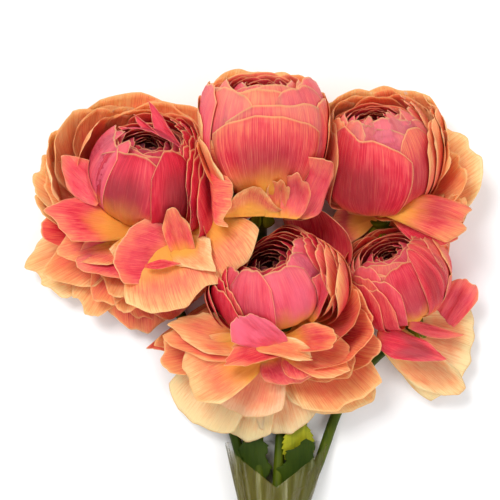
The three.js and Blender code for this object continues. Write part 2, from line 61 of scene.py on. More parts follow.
# %% Camera straight above
PHOTO_SPAN = 250.0
CAMERA_DISTANCE = 700.0
BLOOM_HEIGHT = 35.0
SENSOR = 36.0

camera_data = bpy.data.cameras.new("camera")
camera_data.lens = SENSOR * CAMERA_DISTANCE / PHOTO_SPAN
camera = bpy.data.objects.new("camera", camera_data)
camera.location = (-ORIGIN[0] * MM, -ORIGIN[1] * MM, (CAMERA_DISTANCE + BLOOM_HEIGHT) * MM)
bpy.context.scene.collection.objects.link(camera)
bpy.context.scene.camera = camera
print("lens", camera_data.lens, "mm at", tuple(round(v, 3) for v in camera.location))

# %% [markdown]
# ## Points, directions and soft steps
#
# A petal is a sheet, so it can be written as one function of two numbers: u runs from -1
# to 1 across it and t from 0 at its root to 1 at its rim. numpy works the formula out for
# every point of a grid at once, which is quick and keeps the formula easy to read.

# %% Small helpers
def unit(v):
    """v divided by its own length, for one direction or for a whole grid of them."""
    v = np.asarray(v, float)
    return v / np.maximum(np.linalg.norm(v, axis=-1, keepdims=True), 1e-9)


def smooth(x, a, b):
    """0 up to a, 1 from b, and an S-shaped step 3s^2 - 2s^3 between them."""
    s = np.clip((x - a) / (b - a), 0, 1)
    return s * s * (3 - 2 * s)


def petal_grid(across, along):
    """Two grids: u from -1 to 1 along each row, and t from 0 to 1 down the rows."""
    return np.meshgrid(np.linspace(-1, 1, across), np.linspace(0, 1, along))


def widen(t, claw):
    """A petal's breadth: claw at the narrow root, and 1 - (1 - t)^1.8 of the rest by t."""
    return claw + (1 - claw) * (1 - (1 - t) ** 1.8)


def wavy(u, phase):
    """Three sine waves across the petal, of 1.7, 3.9 and 8.3 turns, at most 1 high in all."""
    slow = np.sin(1.7 * math.pi * u + phase)
    middle = np.sin(3.9 * math.pi * u + 2.1 * phase)
    return 0.62 * slow + 0.3 * middle + 0.08 * np.sin(8.3 * math.pi * u + 3.7 * phase)


print("soft step at its middle:", smooth(0.5, 0, 1))

# %% [markdown]
# ## Where blooms touch
#
# Real blooms push each other's petals aside. Each pair that touches shares a plane here,
# and a petal that comes near the plane is bent back softly before it crosses. The table
# is one more such plane, with a harder edge. A simulation could do this too, but a
# formula gives the same answer every time and takes no time at all.

# %% Shared planes
BLOOM_GAP = 0.55
WALL_SOFTNESS = 7.0
TABLE_SOFTNESS = 1.2
PETAL_SPARE = 0.25  # half a thin petal's thickness and a little air

# First bloom, second bloom, a point of the plane, and its normal towards the first.
BETWEEN = [
    ("left", "crown", (-21, 41, 40), (-0.93, -0.22, -0.3)),
    ("crown", "right", (38, 50, 36), (-0.94, 0.05, 0.34)),
    ("left", "front", (3, 8, 49), (-0.65, 0.73, -0.2)),
    ("crown", "front", (11, 12, 50), (0, 0.95, 0.3)),
    ("right", "front", (32, 14, 44), (0.55, 0.8, 0.2)),
    ("front", "small", (55, -22, 47), (-0.72, -0.45, 0.53)),
    ("right", "small", (73, 13, 42), (0, 0.93, 0.3)),
]


def walls_of(name, lift):
    """The planes that one bloom's petals stay inside, as (point, inward normal, softness).
    The first is level, lift mm over the table."""
    walls = [(np.array([0, 0, lift + PETAL_SPARE]), np.array([0, 0, 1.0]), TABLE_SOFTNESS)]
    for first, second, point, normal in BETWEEN:
        side = {first: 1, second: -1}.get(name, 0)
        if side:
            inward = side * unit(normal)
            place = np.array(point) + inward * (BLOOM_GAP / 2 + PETAL_SPARE)
            walls.append((place, inward, WALL_SOFTNESS))
    return walls


def press(points, walls):
    """Moves points along each wall's normal. Past the softness s nothing moves; nearer
    than that, the depth d becomes s * exp((d - s) / s), which never reaches zero."""
    for place, normal, softness in walls:
        depth = (points - place) @ normal
        pressed = softness * np.exp(np.minimum(depth - softness, 0) / softness)
        shift = np.where(depth < softness, pressed - depth, 0)
        points = points + shift[..., None] * normal
    return points


print("planes round the front bloom:", len(walls_of("front", 9)))

# %% [markdown]
# ## Petals of the ball
#
# A ranunculus opens from a tight ball. Its petals lie on squashed spheres that share one
# middle, smaller and taller towards the heart, and each stands a little proud at one edge
# and tucks under its neighbour at the other. So the formula is a point on a sphere:
# u turns round the bloom's axis and t climbs from the foot to the rim.

# %% The ball petal's formula
SWELL = 0.35  # height in mm of the low waves inside a petal
HUG_CLEARANCE = 1.03  # a petal that hugs the ball stays outside this share of its radius
OPEN_CLEARANCE = 1.06  # and an open petal outside this one


def bloom_axes(axis):
    """Three directions: along the bloom, from it towards the viewer above, and right."""
    along = unit(axis)
    front = unit(np.array([0, 0, 1.0]) - along[2] * along)
    return along, front, np.cross(along, front)


def ball_petal(bloom, azimuth, share, top, half, tuck=0.02, fall=24, wave=0.4, phase=0.0,
               flare=0.0, sink=0.0, start=10, claw=0.35, skew=0.0, ragged=1.6, grid=(21, 19)):
    """A strip of the ball. Its angle up from the foot is start + (rim - start) * t, where
    the rim is top less fall * |u|^3, tilted by skew * u and made ragged by a wave. Its
    angle round the axis is azimuth + half * u * widen(t). Its radius is share of the
    ball's, plus the tuck, the flare of the rim, a wave near the edges and a low swell
    inside. Its height is squashed by the bloom's squat and lowered by sink."""
    u, t = petal_grid(*grid)
    along, front, right = bloom_axes(bloom["axis"])
    rim = top - fall * np.abs(u) ** 3 + skew * u + ragged * wavy(u, phase + 1)
    angle = np.radians(start + (rim - start) * t)
    turn = np.radians(azimuth + half * u * widen(t, claw))
    edge = np.maximum(t ** 4, np.abs(u) ** 4 * t)
    reach = bloom["radius"] * share * (1 + tuck * u) + flare * smooth(t, 0.65, 1) ** 1.5
    reach = reach + wave * wavy(u, phase) * edge
    reach = reach + SWELL * wavy(1.6 * u, phase + 2) * np.sin(math.pi * t)
    ring = (reach * np.sin(angle))[..., None]
    rise = (-reach * np.cos(angle) * bloom["squat"] - sink)[..., None]
    around = np.cos(turn)[..., None] * front + np.sin(turn)[..., None] * right
    return np.asarray(bloom["centre"]) + ring * around + rise * along, u, t


def clear_of_ball(points, bloom, share=OPEN_CLEARANCE):
    """Pushes points out of the bloom's ball: inside the squashed sphere of share times its
    radius, a point moves along its own ray from the middle until it is on the surface."""
    along, front, right = bloom_axes(bloom["axis"])
    axes = np.stack([front, right, along / bloom["squat"]])
    local = (points - np.asarray(bloom["centre"])) @ axes.T / (bloom["radius"] * share)
    depth = np.linalg.norm(local, axis=-1)
    stretch = np.where(depth < 1, 1 / np.maximum(depth, 0.3), 1)[..., None]
    return np.asarray(bloom["centre"]) + (points - np.asarray(bloom["centre"])) * stretch


trial_ball = dict(centre=(0, 0, 30), axis=(0, 1, 0), radius=28, squat=1)
trial, _, _ = ball_petal(trial_ball, 0, 1.0, 130, 60)
print("a petal on a 28 mm ball is", np.ptp(trial, axis=(0, 1)).round(1), "mm in x, y, z")

# %% [markdown]
# ## Open petals
#
# The outer petals let go of the ball and hang, fold or curl. Each is drawn between its
# root and a tip that is read off the photo: the middle line is a curve that sags away
# from the way the petal faces, each line across it is an arc, and waves grow towards the
# rim. A petal that would run through its own ball is pushed out onto the ball's skin.

# %% The open petal's formula
def middle_line(root, tip, up, bow, k):
    """The curve (1-k)^2 root + 2k(1-k) middle + k^2 tip at each k, with its direction
    ahead and the way the petal faces there. The curve sags by bow of its length."""
    length = np.linalg.norm(tip - root)
    middle = (root + tip) / 2 - up * bow * length * 2
    centre = (1 - k) ** 2 * root + 2 * k * (1 - k) * middle + k ** 2 * tip
    tangent = unit((1 - k) * (middle - root) + k * (tip - middle))
    return centre, tangent, unit(up - (tangent @ up)[..., None] * tangent)


def petal_relief(u, t, phase, ruffle=0.0, waves=2.0, crimp=0.35, fold=0.0, curl=0.0):
    """Height over the arc: ruffle * sin(waves * pi * u) and a fine crimp at the edges, a
    low swell inside, a crease of fold * |u| along the middle, and a curl past t = 0.6."""
    edge = np.maximum(t ** 3, np.abs(u) ** 3 * t)
    height = ruffle * np.sin(math.pi * waves * u + phase + 1.3 * t) * edge
    height = height + crimp * wavy(3 * u, 2 * phase) * edge
    height = height + SWELL * wavy(1.5 * u + 0.4 * t, phase) * np.sin(math.pi * t)
    height = height + fold * np.sqrt(u ** 2 + 0.01) * smooth(t, 0.1, 0.6)
    return height - curl * smooth(t, 0.6, 1) ** 1.5


def open_petal(root, tip, face, width, cup=20, bow=0.14, phase=0.0, drop=0.32, claw=0.2,
               lean=0.0, twist=0.0, ragged=0.03, point=3.0, slant=0.0, grid=(33, 31), **relief):
    """A petal from root to tip that looks towards face. Along it, k is t * (1 - drop *
    |u|^point + slant * u), made ragged by a wave. Across it lies an arc that turns cup
    degrees at the edge, moved sideways by lean * t^2 and twisted from root to tip."""
    u, t = petal_grid(*grid)
    root, tip = np.asarray(root, float), np.asarray(tip, float)
    straight = unit(tip - root)
    up = unit(np.asarray(face, float) - np.dot(face, straight) * straight)
    uneven = 1 + ragged * wavy(u, phase) * smooth(t, 0.4, 1)
    k = (t * (1 - drop * np.abs(u) ** point + slant * u) * uneven)[..., None]
    centre, tangent, normal = middle_line(root, tip, up, bow, k)
    side = np.cross(tangent, normal)
    turn = np.radians(twist) * (k - 0.5)
    normal, side = (normal * np.cos(turn) + side * np.sin(turn),
                    side * np.cos(turn) - normal * np.sin(turn))
    half = width / 2
    across = half * (u * widen(t, claw) + lean * t ** 2)
    bend = math.radians(cup) / half * smooth(k[..., 0], 0, 0.5) + 1e-6
    sideways = np.sin(bend * across) / bend
    height = (1 - np.cos(bend * across)) / bend + petal_relief(u, t, phase, **relief)
    return centre + side * sideways[..., None] + normal * height[..., None], u, t


trial, _, _ = open_petal((0, 0, 0), (0, 40, 0), (0, 0, 1), 30, ruffle=1.0)
print("a 30 by 40 mm open petal is", np.ptp(trial, axis=(0, 1)).round(1), "mm in x, y, z")

# %% [markdown]
# ## From sheets to closed skins
#
# A sheet has no inside. Each petal gets a front and a back 0.3 mm apart, closer at its
# rim, and a strip that closes the edge, so light passes through it as it does through
# tissue. A Solidify modifier would do the same, but not with a thinner rim.

# %% Closed sheets
PETAL_THICK = 0.3
RIM_THICK = 0.08


def sheet_normals(points):
    """Unit normals of a grid: the cross product of its slopes along u and along t."""
    return unit(np.cross(np.gradient(points, axis=1), np.gradient(points, axis=0)))


def closed_sheet(points, half):
    """Front and back of a sheet, moved half the thickness each way along its normals, and
    quads for both faces and for the strip that runs round the rim."""
    rows, columns = points.shape[:2]
    normals = sheet_normals(points) * half[..., None]
    both = np.concatenate([(points + normals).reshape(-1, 3), (points - normals).reshape(-1, 3)])
    index = np.arange(rows * columns).reshape(rows, columns)
    a, b, c, d = index[:-1, :-1], index[:-1, 1:], index[1:, 1:], index[1:, :-1]
    front = np.stack([a, b, c, d], -1).reshape(-1, 4)
    back = front[:, ::-1] + rows * columns
    rim = np.concatenate([index[0], index[1:, -1], index[-1, -2::-1], index[-2:0:-1, 0]])
    after = np.roll(rim, -1)
    strip = np.stack([rim + rows * columns, after + rows * columns, after, rim], -1)
    return both, np.concatenate([front, back, strip])


skin_points, skin_faces = closed_sheet(trial, np.full(trial.shape[:2], PETAL_THICK / 2))
print("one closed petal:", len(skin_points), "points and", len(skin_faces), "quads")

# %% [markdown]
# ## One mesh of many petals
#
# All petals of one bloom share a mesh. The petal's own u and t go into a UV map. Its tone,
# how far up yellow climbs from its root, a number of its own, how pink it is and how dark
# its middle is, partly its pigment and partly painted shade, go into attributes, so one
# material colours every petal differently.

# %% A mesh of many petals
# The dusk mark darkens a petal's middle: partly its darker pigment, partly painted shade where it
# turns from the light.
MARKS = ("tone", "yellow", "seed", "rose", "dusk")


def link_mesh(name, points, faces):
    """An object at the origin from points on the plan in mm and an array of quads."""
    mesh = bpy.data.meshes.new(name)
    mesh.vertices.add(len(points))
    mesh.vertices.foreach_set("co", ((points - ORIGIN) * MM).astype(np.float32).ravel())
    mesh.loops.add(faces.size)
    mesh.loops.foreach_set("vertex_index", faces.astype(np.int32).ravel())
    mesh.polygons.add(len(faces))
    corners = faces.shape[1]
    mesh.polygons.foreach_set("loop_start", np.arange(0, faces.size, corners, dtype=np.int32))
    mesh.polygons.foreach_set("use_smooth", np.full(len(faces), True))
    mesh.update(calc_edges=True)
    obj = bpy.data.objects.new(name, mesh)
    bpy.context.scene.collection.objects.link(obj)
    return obj


class Petals:
    """Gathers sheets and what the material needs to know about them, for one mesh."""

    def __init__(self):
        self.points, self.faces, self.uv, self.marks = [], [], [], []
        self.count = 0

    def add(self, points, u, t, tone, yellow, seed, rose=0.0, dusk=0.0):
        """Takes one sheet in, closed, with its u and t and its five marks."""
        near_rim = np.maximum(smooth(t, 0.8, 1), smooth(np.abs(u), 0.8, 1))
        half = (PETAL_THICK - (PETAL_THICK - RIM_THICK) * near_rim) / 2
        both, faces = closed_sheet(points, half)
        self.points.append(both)
        self.faces.append(faces + self.count)
        self.uv.append(np.tile(np.stack([u / 2 + 0.5, t], -1).reshape(-1, 2), (2, 1)))
        self.marks.append(np.tile([tone, yellow, seed, rose, dusk], (len(both), 1)))
        self.count += len(both)

    def build(self, name, material):
        """The mesh of everything taken in, with its UV map, its marks and its material."""
        faces = np.concatenate(self.faces)
        obj = link_mesh(name, np.concatenate(self.points), faces)
        places = np.concatenate(self.uv)[faces.ravel()].astype(np.float32)
        obj.data.uv_layers.new(name="petal").data.foreach_set("uv", places.ravel())
        marks = np.concatenate(self.marks).astype(np.float32)
        for column, key in enumerate(MARKS):
            attribute = obj.data.attributes.new(key, "FLOAT", "POINT")
            attribute.data.foreach_set("value", marks[:, column].copy())
        obj.data.materials.append(material)
        print(name, len(self.points), "petals,", 2 * len(faces), "triangles")
        return obj


print("every petal carries:", ", ".join(MARKS))

# %% [markdown]
# ## Node helpers
#
# Materials are built from nodes in code. A few short helpers keep each material readable
# as one formula after another instead of a long list of links.

# %% Node helpers
class Nodes:
    """One material's node tree, with a method for each kind of step it uses."""

    def __init__(self, name):
        self.material = bpy.data.materials.new(name)
        self.material.use_nodes = True
        self.tree = self.material.node_tree
        self.shader = self.tree.nodes["Principled BSDF"]

    def new(self, kind, **settings):
        """A new node of one kind, with its settings made."""
        node = self.tree.nodes.new(kind)
        for key, value in settings.items():
            setattr(node, key, value)
        return node

    def put(self, socket, value):
        """Links another node's output into a socket, or writes a plain value there."""
        if isinstance(value, bpy.types.NodeSocket):
            self.tree.links.new(value, socket)
        else:
            socket.default_value = value

    def math(self, operation, a, b=0.0):
        node = self.new("ShaderNodeMath", operation=operation)
        self.put(node.inputs[0], a)
        self.put(node.inputs[1], b)
        return node.outputs[0]

    def plus(self, a, b):
        return self.math("ADD", a, b)

    def less(self, a, b):
        return self.math("SUBTRACT", a, b)

    def times(self, a, b):
        return self.math("MULTIPLY", a, b)

    def mix(self, share, a, b):
        """Colour a where share is 0, colour b where it is 1."""
        node = self.new("ShaderNodeMix", data_type="RGBA")
        self.put(node.inputs[0], share)
        self.put(node.inputs[6], a)
        self.put(node.inputs[7], b)
        return node.outputs[2]

    def ramp(self, value, stops):
        """The colour that a list of (place, colour) stops gives for a value."""
        node = self.new("ShaderNodeValToRGB")
        elements = node.color_ramp.elements
        while len(elements) < len(stops):
            elements.new(0.5)
        for element, (place, colour) in zip(elements, stops):
            element.position = place
            element.color = (*colour, 1)
        self.put(node.inputs[0], value)
        return node.outputs[0]

    def step(self, value, start, end, low=0.0, high=1.0):
        """A soft step from low at start to high at end."""
        node = self.new("ShaderNodeMapRange", interpolation_type="SMOOTHSTEP")
        self.put(node.inputs[0], value)
        for place, number in enumerate((start, end, low, high)):
            node.inputs[place + 1].default_value = number
        return node.outputs[0]

    def parts(self, vector):
        """The three numbers of a vector."""
        node = self.new("ShaderNodeSeparateXYZ")
        self.put(node.inputs[0], vector)
        return node.outputs

    def noise(self, place, stretch, detail):
        """Noise at a place of three numbers, each multiplied by its own stretch first."""
        point = self.new("ShaderNodeCombineXYZ")
        for socket, value, factor in zip(point.inputs, place, stretch):
            self.put(socket, self.times(value, factor))
        node = self.new("ShaderNodeTexNoise")
        node.inputs["Scale"].default_value = 1.0
        node.inputs["Detail"].default_value = detail
        self.put(node.inputs["Vector"], point.outputs[0])
        return node.outputs["Fac"]

    def mark(self, name):
        """A number that the mesh carries in an attribute."""
        return self.new("ShaderNodeAttribute", attribute_name=name).outputs["Fac"]

    def bump(self, height, strength, distance):
        node = self.new("ShaderNodeBump")
        node.inputs["Strength"].default_value = strength
        node.inputs["Distance"].default_value = distance
        self.put(node.inputs["Height"], height)
        self.put(self.shader.inputs["Normal"], node.outputs[0])

    def surface(self, **values):
        """Fills in the shader's own sockets, with _ for the spaces in their names."""
        for key, value in values.items():
            self.put(self.shader.inputs[key.replace("_", " ")], value)


print("node steps:", [name for name in vars(Nodes) if not name.startswith("_")])

# %% [markdown]
# ## The petals' colours
#
# These flowers run from near black in the heart, partly deeper crimson and partly painted
# shade of the deep opening, through crimson and rose to coral, orange and cream on the guard
# petals. One ramp holds that whole run, and a petal's tone says where it sits. Clouds, a
# finer mottle and fine veins shift it a little from place to place, and it grows paler outwards.

# %% Where on the ramp
TISSUE = [
    (0.00, (0.050, 0.002, 0.008)), (0.12, (0.190, 0.003, 0.014)), (0.25, (0.520, 0.005, 0.024)),
    (0.36, (0.670, 0.018, 0.045)), (0.47, (0.780, 0.076, 0.085)), (0.57, (0.860, 0.155, 0.100)),
    (0.67, (0.900, 0.245, 0.110)), (0.78, (0.930, 0.365, 0.145)), (0.88, (0.940, 0.490, 0.215)),
    (1.00, (0.930, 0.640, 0.330)),
]
# How often each noise comes round across a petal, along it, and from petal to petal.
VEINS = (150.0, 4.0, 37.0)
MOTTLE = (17.0, 9.0, 53.0)
CLOUDS = (3.0, 2.6, 91.0)


def petal_facts(nodes):
    """What a petal's colour is worked out from: its marks, its own t, how far a place is
    from its middle line, from 0 to 0.5 at the edge, and the three noises."""
    across, t, _ = nodes.parts(nodes.new("ShaderNodeUVMap", uv_map="petal").outputs[0])
    at = {name: nodes.mark(name) for name in MARKS}
    centred = nodes.less(across, 0.5)
    at["t"], at["out"] = t, nodes.math("ABSOLUTE", centred)
    at["veins"] = nodes.noise((centred, t, at["seed"]), VEINS, 3.0)
    at["mottle"] = nodes.noise((across, t, at["seed"]), MOTTLE, 3.0)
    at["clouds"] = nodes.noise((across, t, at["seed"]), CLOUDS, 2.0)
    return at


def petal_tone(nodes, at):
    """The petal's tone, shifted by the noises, and paler towards the rim and the edges
    unless the petal is one of the dark ones."""
    tone = nodes.plus(at["tone"], nodes.times(nodes.less(at["clouds"], 0.5), 0.34))
    tone = nodes.plus(tone, nodes.times(nodes.less(at["mottle"], 0.5), 0.2))
    tone = nodes.plus(tone, nodes.step(at["veins"], 0.36, 0.64, -0.06, 0.045))
    outwards = nodes.plus(nodes.step(at["t"], 0.66, 1.0, -0.02, 0.15),
                          nodes.step(at["out"], 0.3, 0.5, -0.02, 0.08))
    return nodes.plus(tone, nodes.times(outwards, nodes.step(at["tone"], 0.31, 0.5)))


print("tissue colours on the ramp:", len(TISSUE))

# %% [markdown]
# ## The petals' markings
#
# Over the ramp come a dusky middle on some petals, partly darker pigment and partly painted
# shade where the petal turns from the light, dark and pale veins, rose on the pink ones, a
# yellow wash that climbs from the root, and a thin peach line at the rim. Light also scatters
# inside the tissue, redder than it came in, so the shader has a short subsurface radius.

# %% Petal material
ROOT_YELLOW = (0.88, 0.36, 0.050, 1)
ROSE_PINK = (0.92, 0.140, 0.215, 1)
# Dark colour for the veins, and painted shade with dusky pigment on the petals' middles.
DARK_PIGMENT_AND_SHADE = (0.26, 0.026, 0.030, 1)
RIM_PEACH = (0.95, 0.46, 0.20, 1)
DARK_VEINS = 0.13  # share of dusk in the darkest veins
PALE_VEINS = 0.22  # share of peach in the palest


def dusk_shade_and_veins(nodes, body, at):
    """A dusky patch on the middle of the petal, partly darker pigment and partly painted shade,
    then the dark and the pale veins.
    """
    beside = nodes.step(at["out"], 0.12, 0.48, 1.0, 0.0)  # fades towards both edges
    above_root = nodes.step(at["t"], 0.3, 0.55)
    below_rim = nodes.step(at["t"], 0.7, 0.95, 1.0, 0.0)
    middle = nodes.times(nodes.times(beside, above_root), below_rim)
    # Painted shade: the dusk mark darkens the petal's middle, partly pigment and partly shade where
    # it turns from the light.
    body = nodes.mix(nodes.times(at["dusk"], middle), body, DARK_PIGMENT_AND_SHADE)
    body = nodes.mix(nodes.step(at["veins"], 0.34, 0.5, DARK_VEINS, 0.0), body, DARK_PIGMENT_AND_SHADE)
    pale = nodes.times(nodes.step(at["veins"], 0.56, 0.72, 0.0, PALE_VEINS),
                       nodes.step(at["tone"], 0.28, 0.5, 0.3, 1.0))
    return nodes.mix(pale, body, RIM_PEACH)


def rose_root_and_rim(nodes, body, at):
    """Rose in clouds, the yellow wash up to the petal's own height, and the peach rim."""
    rose = nodes.times(at["rose"], nodes.step(at["clouds"], 0.3, 0.6, 0.6, 1.0))
    body = nodes.mix(rose, body, ROSE_PINK)
    height = nodes.plus(at["t"], nodes.times(nodes.less(at["clouds"], 0.5), 0.3))
    wash = nodes.step(nodes.less(height, at["yellow"]), -0.22, 0.16, 0.9, 0.0)
    body = nodes.mix(wash, body, ROOT_YELLOW)
    sides = nodes.times(nodes.step(at["out"], 0.490, 0.4995), nodes.step(at["t"], 0.2, 0.6))
    rim = nodes.math("MAXIMUM", nodes.step(at["t"], 0.98, 0.999), sides)
    return nodes.mix(nodes.times(rim, nodes.step(at["tone"], 0.0, 0.4, 0.25, 0.75)), body,
                     RIM_PEACH)


def petal_material():
    """The ramp, the markings over it, and a relief from the same noises."""
    nodes = Nodes("petal_tissue")
    at = petal_facts(nodes)
    body = nodes.ramp(petal_tone(nodes, at), TISSUE)
    body = dusk_shade_and_veins(nodes, body, at)
    body = rose_root_and_rim(nodes, body, at)
    nodes.surface(Base_Color=body, Roughness=0.5, Specular_IOR_Level=0.18,
                  Subsurface_Weight=0.4, Subsurface_Radius=(1.0, 0.5, 0.35),
                  Subsurface_Scale=0.001)
    relief = nodes.plus(at["veins"], nodes.times(at["mottle"], 1.6))
    nodes.bump(nodes.plus(relief, nodes.times(at["clouds"], 3.0)), 0.45, 0.0008)
    return nodes.material


petal_tissue = petal_material()
print("petal material:", len(petal_tissue.node_tree.nodes), "nodes")

# %% [markdown]
# ## The ball of a bloom
#
# A bloom is written down as a dict. centre, axis and radius place its ball, and squat is
# the ball's height over its radius. turn and rise are degrees added to every ring, and lift
# is how high its lowest petals stay over the table. faces holds tone and yellow root of the
# four outermost petals, and paler is added to the tones of the rings inside them. brim and
# hollow say how high the rims stand in the opening, and blush how pink the rings are.
#
# The ball's petals come in ten rings, from the outer ones that close over it to the small
# dark ones deep in the opening, whose low tones are partly deeper crimson and partly painted
# shade of the hollow. Every draw of chance is seeded with the bloom's own number, so the
# flower is the same each time.

# %% Rings of the ball
# Share of the ball's radius, top angle, half width, petals, turn, tone, fall of the rim.
# Tones fall towards the heart: partly deeper crimson, partly painted shade deep in the opening.
RINGS = [
    (1.00, 122, 62, 4, 0, 0.38, 16), (0.95, 128, 62, 4, 40, 0.42, 16),
    (0.90, 132, 60, 4, 10, 0.45, 18), (0.82, 138, 56, 4, 52, 0.42, 18),
    (0.73, 143, 52, 4, 20, 0.36, 20), (0.63, 147, 50, 4, 64, 0.30, 22),
    (0.53, 150, 48, 4, 30, 0.24, 22), (0.43, 152, 46, 4, 75, 0.18, 24),
    (0.33, 154, 48, 3, 20, 0.12, 24), (0.22, 158, 52, 3, 70, 0.06, 24),
]
OPENING = 0.86  # rings within this share of the radius stand in the opening
OUTER_RINGS = 2  # rings whose petals show yellow at their roots
OUTER_YELLOW = 0.3
BLUSHING = 0.5  # rings wider than this share of the radius are pink
# Chance turns a petal, lifts its rim, tilts it and shifts its tone by at most this.
TURN_CHANCE = 7
RIM_CHANCE = 3
SKEW_CHANCE = 6
TONE_CHANCE = 0.03


def sink_of(bloom, share, high):
    """How far a ring in the opening is lowered, so that its rim stands brim - hollow *
    (OPENING - share) ball heights over the middle. Rings outside it aren't lowered."""
    if share >= OPENING:
        return 0.0
    brim = bloom["brim"] - bloom["hollow"] * (OPENING - share)
    rim = -share * math.cos(math.radians(high))
    return bloom["radius"] * bloom["squat"] * (rim - brim)


def ring_petal(bloom, chance, ring, place):
    """One petal of a ring: its place is how far round the ring it is, from 0 to 1."""
    share, top, half, _, turn, _, fall = ring
    azimuth = bloom["turn"] + turn + 360 * place + chance.uniform(-TURN_CHANCE, TURN_CHANCE)
    high = top + bloom["rise"] + chance.uniform(-RIM_CHANCE, RIM_CHANCE)
    return ball_petal(bloom, azimuth, share, high, half, fall=fall * chance.uniform(0.6, 1.3),
                      skew=chance.uniform(-SKEW_CHANCE, SKEW_CHANCE),
                      phase=chance.uniform(0, 6), sink=sink_of(bloom, share, high),
                      tuck=0.018, wave=0.3)


def ball_of(bloom):
    """The rings of the ball as one mesh that stands for the bloom's heart. The outermost
    ring takes its colours from the bloom's faces."""
    petals = Petals()
    chance = np.random.default_rng(bloom["seed"])
    for number, ring in enumerate(RINGS):
        share, _, _, count, _, tone, _ = ring
        for i in range(count):
            points, u, t = ring_petal(bloom, chance, ring, i / count)
            own_tone = tone + bloom["paler"]
            own_yellow = OUTER_YELLOW if number < OUTER_RINGS else 0.0
            if number == 0:
                own_tone, own_yellow = bloom["faces"][i]
            own_tone = own_tone + chance.uniform(-TONE_CHANCE, TONE_CHANCE)
            petals.add(press(points, bloom["walls"]), u, t, own_tone, own_yellow,
                       chance.uniform(0, 1), bloom["blush"] * (share > BLUSHING))
    return petals.build(bloom["name"] + "_ball_petals", petal_tissue)


print("petals in each ball:", sum(ring[3] for ring in RINGS))

# %% [markdown]
# ## The petals round the ball
#
# Three lists in a bloom's dict hold the rest. front has petals that lie on the ball's near
# side. ruff has petals that still hug the ball but stand off it: share of the radius,
# azimuth, top and half angle, tone, flare of the rim, yellow root, and "loose" for one that
# may pass a neighbour's plane. open has the petals that have let go, each with its tip, and
# what a row leaves out is drawn by chance. over=True lets one lie over a neighbour.
#
# Under the ball is a cup that they grow out of, with a small yellow collar below it. An open
# petal whose row names a root starts there instead.

# %% Cup and collar
COLLAR = [(1.0, -1.0), (7.0, -1.0), (7.4, 1.5), (6.2, 4.0), (4.6, 6.0)]  # how far out and down
CUP_SHARE = 0.97
CUP_TOP = 50
FOOT_MARKS = dict(tone=0.8, yellow=0.9, seed=0.5)
ROOT_DEPTH = 3  # mm under the ball's foot where open petals are rooted
RUFF_STARTS = 5  # degrees up from the foot where a ruff petal is rooted
WIDE_SHARE = 1.22
WIDE_STARTS = 12  # and where one wider than that share is


def collar(bloom):
    """The yellow foot under the ball: the collar's profile turned once round the axis."""
    u, t = petal_grid(49, len(COLLAR))
    along, front, right = bloom_axes(bloom["axis"])
    out, down = np.array(COLLAR).T[:, :, None]
    depth = bloom["radius"] * bloom["squat"] + down
    around = np.cos(math.pi * u)[..., None] * front + np.sin(math.pi * u)[..., None] * right
    return np.asarray(bloom["centre"]) + out[..., None] * around - depth[..., None] * along, u, t


def cup(bloom):
    """A petal that goes all the way round the ball's foot, with an even rim."""
    return ball_petal(bloom, 0, CUP_SHARE, CUP_TOP, 180, start=1, claw=1, fall=0, tuck=0,
                      wave=0, grid=(61, 9))


def foot_petals(petals, bloom):
    """Adds the cup and the collar."""
    for sheet, u, t in (cup(bloom), collar(bloom)):
        petals.add(press(sheet, bloom["walls"]), u, t, **FOOT_MARKS)


print("collar:", len(COLLAR), "points, widest", max(out for out, _ in COLLAR), "mm from the axis")

# %% [markdown]
# ## Front, ruff and open petals
#
# Each list has its own short function. Walls are the shared planes, and the first wall is
# always the table, so a loose petal keeps that one alone.

# %% Front, ruff and open petals
# The range that each of these is drawn from where an open petal's row leaves it out.
OPEN_CHANCE = {
    "phase": (0, 6), "lean": (-0.25, 0.25), "fold": (-2, 2), "slant": (-0.16, 0.16),
    "point": (1.6, 3.2), "twist": (-14, 14), "ruffle": (0.3, 1.6), "waves": (1.2, 2.8),
    "ragged": (0.03, 0.08),
}
# The usual dusk gives open petals a slightly dusky middle, partly painted shade.
OPEN_USUAL = dict(yellow=0.3, rose=0.0, dusk=0.1, over=False)
ROOT_CHANCE = 1  # mm by which an open petal's root may be off the bloom's foot, each way


def front_petals(petals, bloom, chance):
    """Adds the petals that lie on the ball's near side."""
    for row in bloom["front"]:
        marks = {key: row[key] for key in MARKS if key in row}
        shape = {key: row[key] for key in row if key not in marks}
        points, u, t = ball_petal(bloom, phase=chance.uniform(0, 6), **shape)
        points = press(clear_of_ball(points, bloom, HUG_CLEARANCE), bloom["walls"])
        petals.add(points, u, t, seed=chance.uniform(0, 1), **marks)


def ruff_petals(petals, bloom, chance):
    """Adds the petals that hug the ball but stand off it."""
    for share, azimuth, top, half, tone, flare, yellow, *loose in bloom["ruff"]:
        points, u, t = ball_petal(bloom, azimuth, share, top, half, tuck=0.01, flare=flare,
                                  wave=0.35 + 0.5 * flare, phase=chance.uniform(0, 6),
                                  start=WIDE_STARTS if share > WIDE_SHARE else RUFF_STARTS,
                                  fall=chance.uniform(14, 26), ragged=2.2)
        walls = bloom["walls"][:1] if loose else bloom["walls"]
        points = press(clear_of_ball(points, bloom, HUG_CLEARANCE), walls)
        petals.add(points, u, t, tone, yellow, chance.uniform(0, 1))


def by_chance(foot, chance):
    """What an open petal's row may leave out: a root near the foot, then the shape, drawn
    in the order of OPEN_CHANCE, and the usual marks."""
    root = foot + chance.uniform(-ROOT_CHANCE, ROOT_CHANCE, 3)
    drawn = {key: chance.uniform(*span) for key, span in OPEN_CHANCE.items()}
    return {"root": root, **drawn, **OPEN_USUAL}


